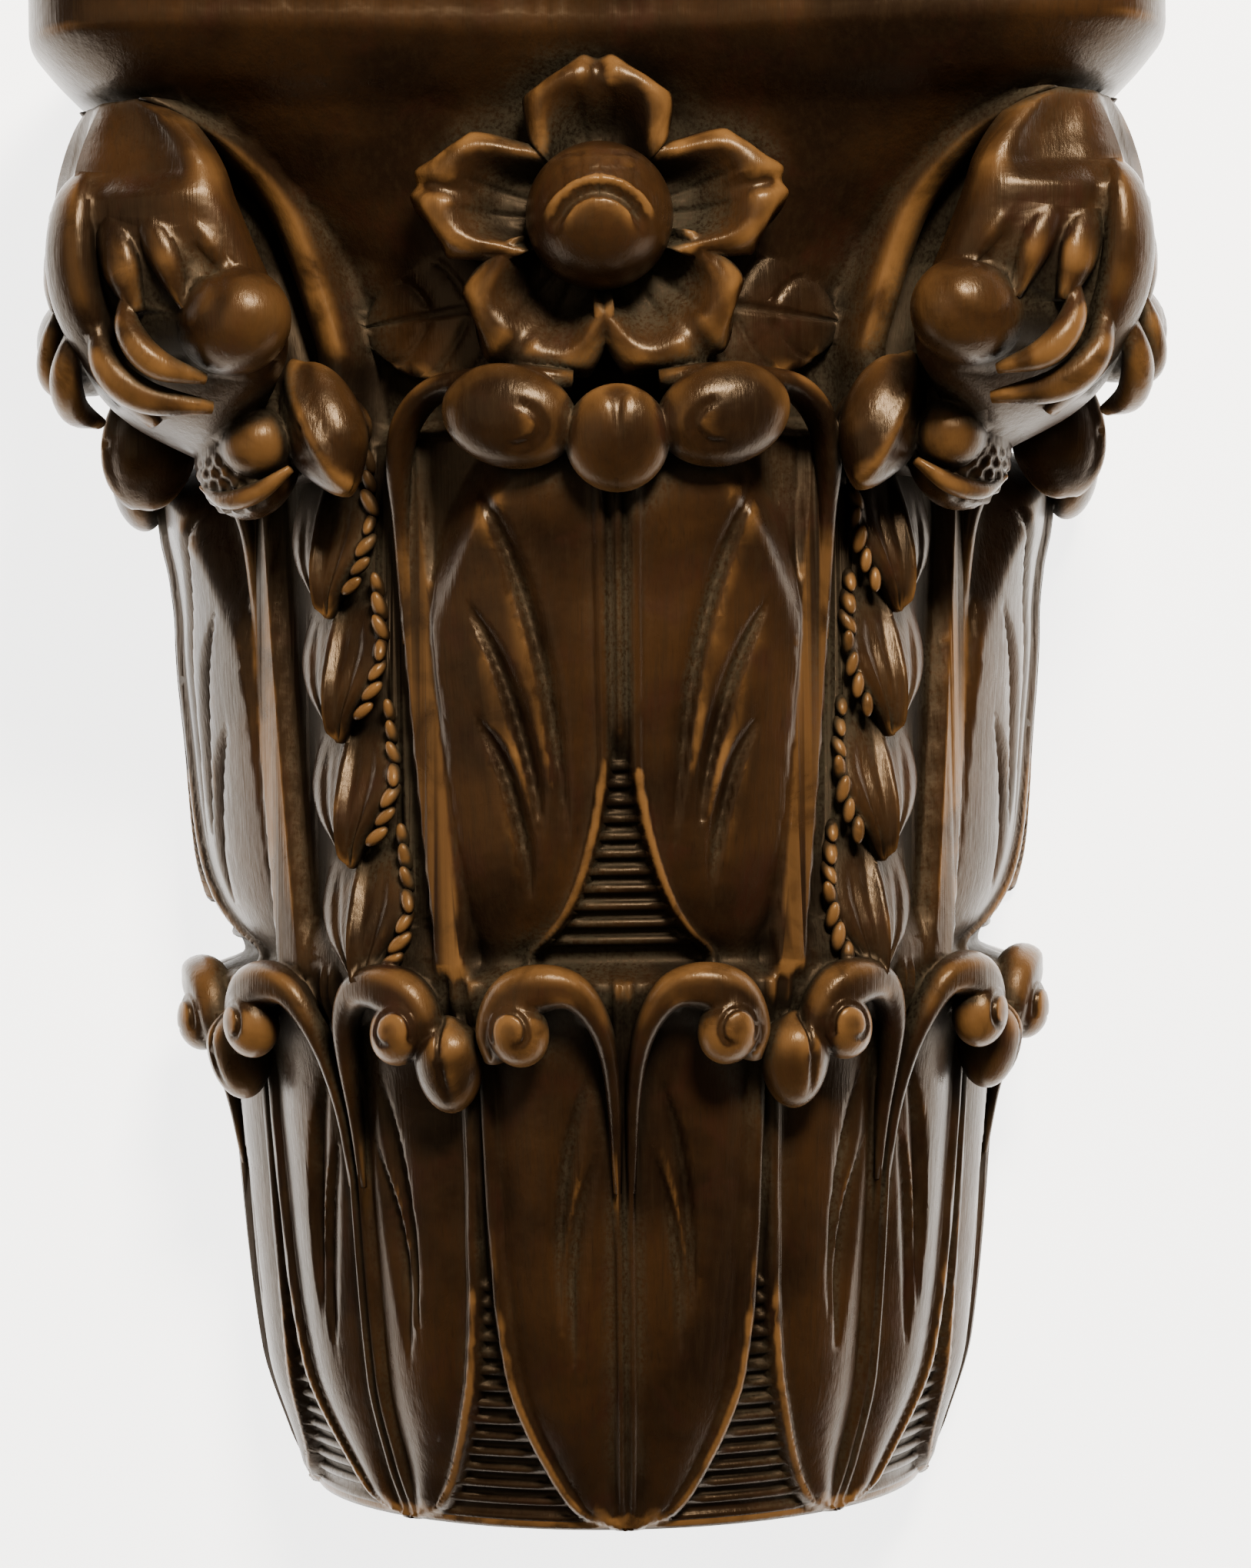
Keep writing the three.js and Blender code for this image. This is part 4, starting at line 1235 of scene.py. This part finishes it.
class Painter:
    """Short ways to add shader nodes to a tree."""

    def __init__(self, tree):
        self.tree = tree

    def link(self, value, socket):
        if isinstance(value, bpy.types.NodeSocket):
            self.tree.links.new(value, socket)
        else:
            socket.default_value = value

    def attribute(self, name):
        node = self.tree.nodes.new("ShaderNodeAttribute")
        node.attribute_name = name
        return node.outputs["Fac"]

    def place(self, scale):
        coordinates = self.tree.nodes.new("ShaderNodeTexCoord")
        mapping = self.tree.nodes.new("ShaderNodeMapping")
        mapping.inputs["Scale"].default_value = scale
        self.tree.links.new(coordinates.outputs["Object"], mapping.inputs["Vector"])
        return mapping.outputs["Vector"]

    def along(self, axis):
        parted = self.tree.nodes.new("ShaderNodeSeparateXYZ")
        self.tree.links.new(self.place((1, 1, 1)), parted.inputs["Vector"])
        return parted.outputs[axis]

    def noise(self, scale, detail=4.0, stretch=(1, 1, 1), rough=0.55, warp=0.0):
        node = self.tree.nodes.new("ShaderNodeTexNoise")
        node.inputs["Scale"].default_value = scale
        node.inputs["Detail"].default_value = detail
        node.inputs["Roughness"].default_value = rough
        node.inputs["Distortion"].default_value = warp
        self.tree.links.new(self.place(stretch), node.inputs["Vector"])
        return node.outputs["Fac"]

    def sums(self, operation, *values):
        node = self.tree.nodes.new("ShaderNodeMath")
        node.operation = operation
        for value, socket in zip(values, node.inputs):
            self.link(value, socket)
        return node.outputs["Value"]

    def ramp(self, value, low_edge, high_edge):
        node = self.tree.nodes.new("ShaderNodeMapRange")
        node.interpolation_type = "SMOOTHSTEP"
        self.link(value, node.inputs["Value"])
        node.inputs["From Min"].default_value = low_edge
        node.inputs["From Max"].default_value = high_edge
        return node.outputs["Result"]

    def mix(self, share, under, over):
        node = self.tree.nodes.new("ShaderNodeMix")
        node.data_type = "RGBA"
        self.link(share, node.inputs["Factor"])
        for value, label in ((under, "A"), (over, "B")):
            socket = next(s for s in node.inputs if s.name == label and s.type == "RGBA")
            self.link(value, socket)
        return next(s for s in node.outputs if s.type == "RGBA")


def stained_wood():
    """Old hardwood under dark stain and wax: gold where rubbed, red in patches, dusty in the hollows, with
    painted shade darkening hollows and occluded places.
    """
    material, tree = node_tree("stained hardwood")
    paint = Painter(tree)
    shader = tree.nodes.new("ShaderNodeBsdfPrincipled")
    output = tree.nodes.new("ShaderNodeOutputMaterial")
    tree.links.new(shader.outputs["BSDF"], output.inputs["Surface"])
    raised, sunk, shut = (paint.attribute(name) for name in ("raised", "sunk", "shut"))
    height = paint.along("Z")
    flat_ends = paint.sums("MAXIMUM", paint.ramp(height, *TOP_FACE), paint.ramp(height, *FOOT_FACE_BELOW))
    flat = paint.sums("MAXIMUM", flat_ends, paint.ramp(paint.along("Y"), *WALL_FACE))
    raised = paint.sums("MULTIPLY", raised, paint.sums("SUBTRACT", 1.0, flat))

    cloud = paint.noise(26.0, 5.0)
    patches = paint.noise(60.0, 6.0, warp=0.6)
    grain = paint.noise(1.0, 6.0, stretch=(620, 620, 26), rough=0.62)
    fibres = paint.noise(1.0, 3.0, stretch=(1900, 1900, 90), rough=0.5)
    specks = paint.noise(900.0, 3.0, rough=0.7)

    stain = paint.mix(paint.ramp(cloud, 0.36, 0.66), DARK_STAIN, WARM_STAIN)
    stain = paint.mix(paint.sums("MULTIPLY", paint.ramp(patches, 0.52, 0.72), 0.6), stain, RED_STAIN)
    stain = paint.mix(paint.sums("MULTIPLY", paint.ramp(grain, 0.42, 0.68), 0.5), stain, GRAIN_STAIN)
    stain = paint.mix(paint.sums("MULTIPLY", paint.ramp(fibres, 0.55, 0.8), 0.35), stain, DEEP_STAIN)
    rubbed = paint.sums("MULTIPLY", paint.ramp(raised, 0.26, 0.95), paint.ramp(patches, 0.24, 0.58))
    worn = paint.mix(paint.sums("MULTIPLY", rubbed, 0.85), stain, RUBBED_EDGE)
    # Painted shade: narrow hollows (sunk) and occluded places (shut) are mixed towards near black.
    painted_shade_mask = paint.sums("MAXIMUM", paint.ramp(sunk, 0.12, 0.7), paint.ramp(shut, 0.17, 0.52))
    with_painted_shade = paint.mix(paint.sums("MULTIPLY", painted_shade_mask, 0.9), worn, PAINTED_SHADE_BLACK)
    settled = paint.sums("MULTIPLY", paint.ramp(shut, 0.10, 0.32), paint.ramp(cloud, 0.40, 0.62))
    settled = paint.sums("MULTIPLY", settled, paint.ramp(sunk, 0.45, 0.0))
    speckled = paint.sums("MULTIPLY", settled, paint.ramp(specks, 0.3, 0.62))
    dusty = paint.sums("MULTIPLY", speckled, 0.42)
    tree.links.new(paint.mix(dusty, with_painted_shade, CREVICE_DUST), shader.inputs["Base Color"])

    gloss = paint.sums("MULTIPLY_ADD", patches, 0.20, 0.19)
    gloss = paint.sums("ADD", gloss, paint.sums("MULTIPLY", dusty, 0.6))
    gloss = paint.sums("ADD", gloss, paint.sums("MULTIPLY", painted_shade_mask, 0.25))
    tree.links.new(paint.sums("MINIMUM", gloss, 0.85), shader.inputs["Roughness"])
    shader.inputs["Specular IOR Level"].default_value = 0.27
    shader.inputs["Specular Tint"].default_value = WAX_SHEEN

    bump = tree.nodes.new("ShaderNodeBump")
    bump.inputs["Strength"].default_value = 0.55
    bump.inputs["Distance"].default_value = 0.0004
    chisel = paint.noise(170.0, 2.0)
    relief = paint.sums("MULTIPLY_ADD", grain, 0.55, paint.sums("MULTIPLY", chisel, 0.9))
    relief = paint.sums("MULTIPLY_ADD", fibres, 0.25, relief)
    tree.links.new(relief, bump.inputs["Height"])
    tree.links.new(bump.outputs["Normal"], shader.inputs["Normal"])
    return material


DARK_STAIN = (0.0105, 0.0050, 0.0024, 1)
WARM_STAIN = (0.0330, 0.0145, 0.0050, 1)
RED_STAIN = (0.0240, 0.0078, 0.0042, 1)
GRAIN_STAIN = (0.0190, 0.0105, 0.0048, 1)
DEEP_STAIN = (0.0045, 0.0026, 0.0015, 1)
WAX_SHEEN = (1.0, 0.72, 0.46, 1)
RUBBED_EDGE = (0.175, 0.084, 0.026, 1)
# Painted shade colour: hollows and occluded places are darkened towards this near black.
PAINTED_SHADE_BLACK = (0.0022, 0.0016, 0.0011, 1)
CREVICE_DUST = (0.036, 0.033, 0.021, 1)

# Where the flat faces begin and lie, in metres. The stain isn't rubbed off them
TOP_FACE = (0.2040, 0.2048)
FOOT_FACE_BELOW = (-0.2040, -0.2048)
WALL_FACE = (-0.0012, -0.0004)

GRID_STEP = 1.0
MOST_TRIANGLES = 190000

wood = stained_wood()
corbel = join_all("carved_corbel", carved_shapes(GRID_STEP), repeated_pieces(wood))
cut_at_wall(corbel)
thin_out(corbel, MOST_TRIANGLES)
corbel.data.materials.clear()
corbel.data.materials.append(wood)
corbel.data.shade_smooth()
paint_wear_and_shade(corbel)
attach(corbel, "root")
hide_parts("corbel")


# Stage, light and camera

WALL_GLOW = 4.0
WARM_LIGHT = (1.0, 0.90, 0.76)
LIGHT_AROUND = 0.13


def pale_wall():
    pale, tree = node_tree("pale stage")
    shader = tree.nodes.new("ShaderNodeBsdfPrincipled")
    output = tree.nodes.new("ShaderNodeOutputMaterial")
    tree.links.new(shader.outputs["BSDF"], output.inputs["Surface"])
    shader.inputs["Base Color"].default_value = (0.92, 0.92, 0.90, 1)
    shader.inputs["Roughness"].default_value = 0.9
    shader.inputs["Emission Color"].default_value = (1.0, 0.995, 0.98, 1)
    shader.inputs["Emission Strength"].default_value = WALL_GLOW
    mesh = bpy.data.meshes.new("pale_backdrop")
    wide, behind, high = 3.0, 0.004, 2.5
    points = [(-wide, behind, high), (wide, behind, high), (wide, behind, -high), (-wide, behind, -high)]
    mesh.from_pydata(points, [], [(0, 1, 2, 3)])
    mesh.materials.append(pale)
    backdrop = bpy.data.objects.new("pale_backdrop", mesh)
    bpy.context.scene.collection.objects.link(backdrop)


def area_light(name, place, aim, size, power):
    data = bpy.data.lights.new(name, "AREA")
    data.shape = "RECTANGLE"
    data.size, data.size_y = size
    data.energy = power
    data.color = WARM_LIGHT
    light = bpy.data.objects.new(name, data)
    light.location = place
    light.rotation_euler = (Vector(aim) - Vector(place)).to_track_quat("-Z", "Y").to_euler()
    bpy.context.scene.collection.objects.link(light)


def camera():
    data = bpy.data.cameras.new("camera")
    data.sensor_fit = "AUTO"
    data.sensor_width = 36.0
    focal_length, photo_height = 4600.0, 2039.0
    data.lens = focal_length / photo_height * data.sensor_width
    data.clip_start = 0.05
    view = bpy.data.objects.new("camera", data)
    view.location = (0.0045, -1.0, -0.012)
    view.rotation_euler = (math.radians(90), 0, 0)
    view.rotation_euler.rotate_axis("Z", math.radians(-0.78))
    bpy.context.scene.collection.objects.link(view)
    bpy.context.scene.camera = view


pale_wall()
area_light("lamp over the camera", (0.25, -1.0, 0.75), (0, 0, 0), (0.30, 0.22), 36)
area_light("soft fill", (-0.9, -1.3, 0.2), (0, 0, 0), (1.2, 1.2), 3.5)
world = bpy.data.worlds.new("studio")
world.use_nodes = True
world.node_tree.nodes["Background"].inputs["Color"].default_value = (*WARM_LIGHT, 1)
world.node_tree.nodes["Background"].inputs["Strength"].default_value = LIGHT_AROUND
bpy.context.scene.world = world
camera()
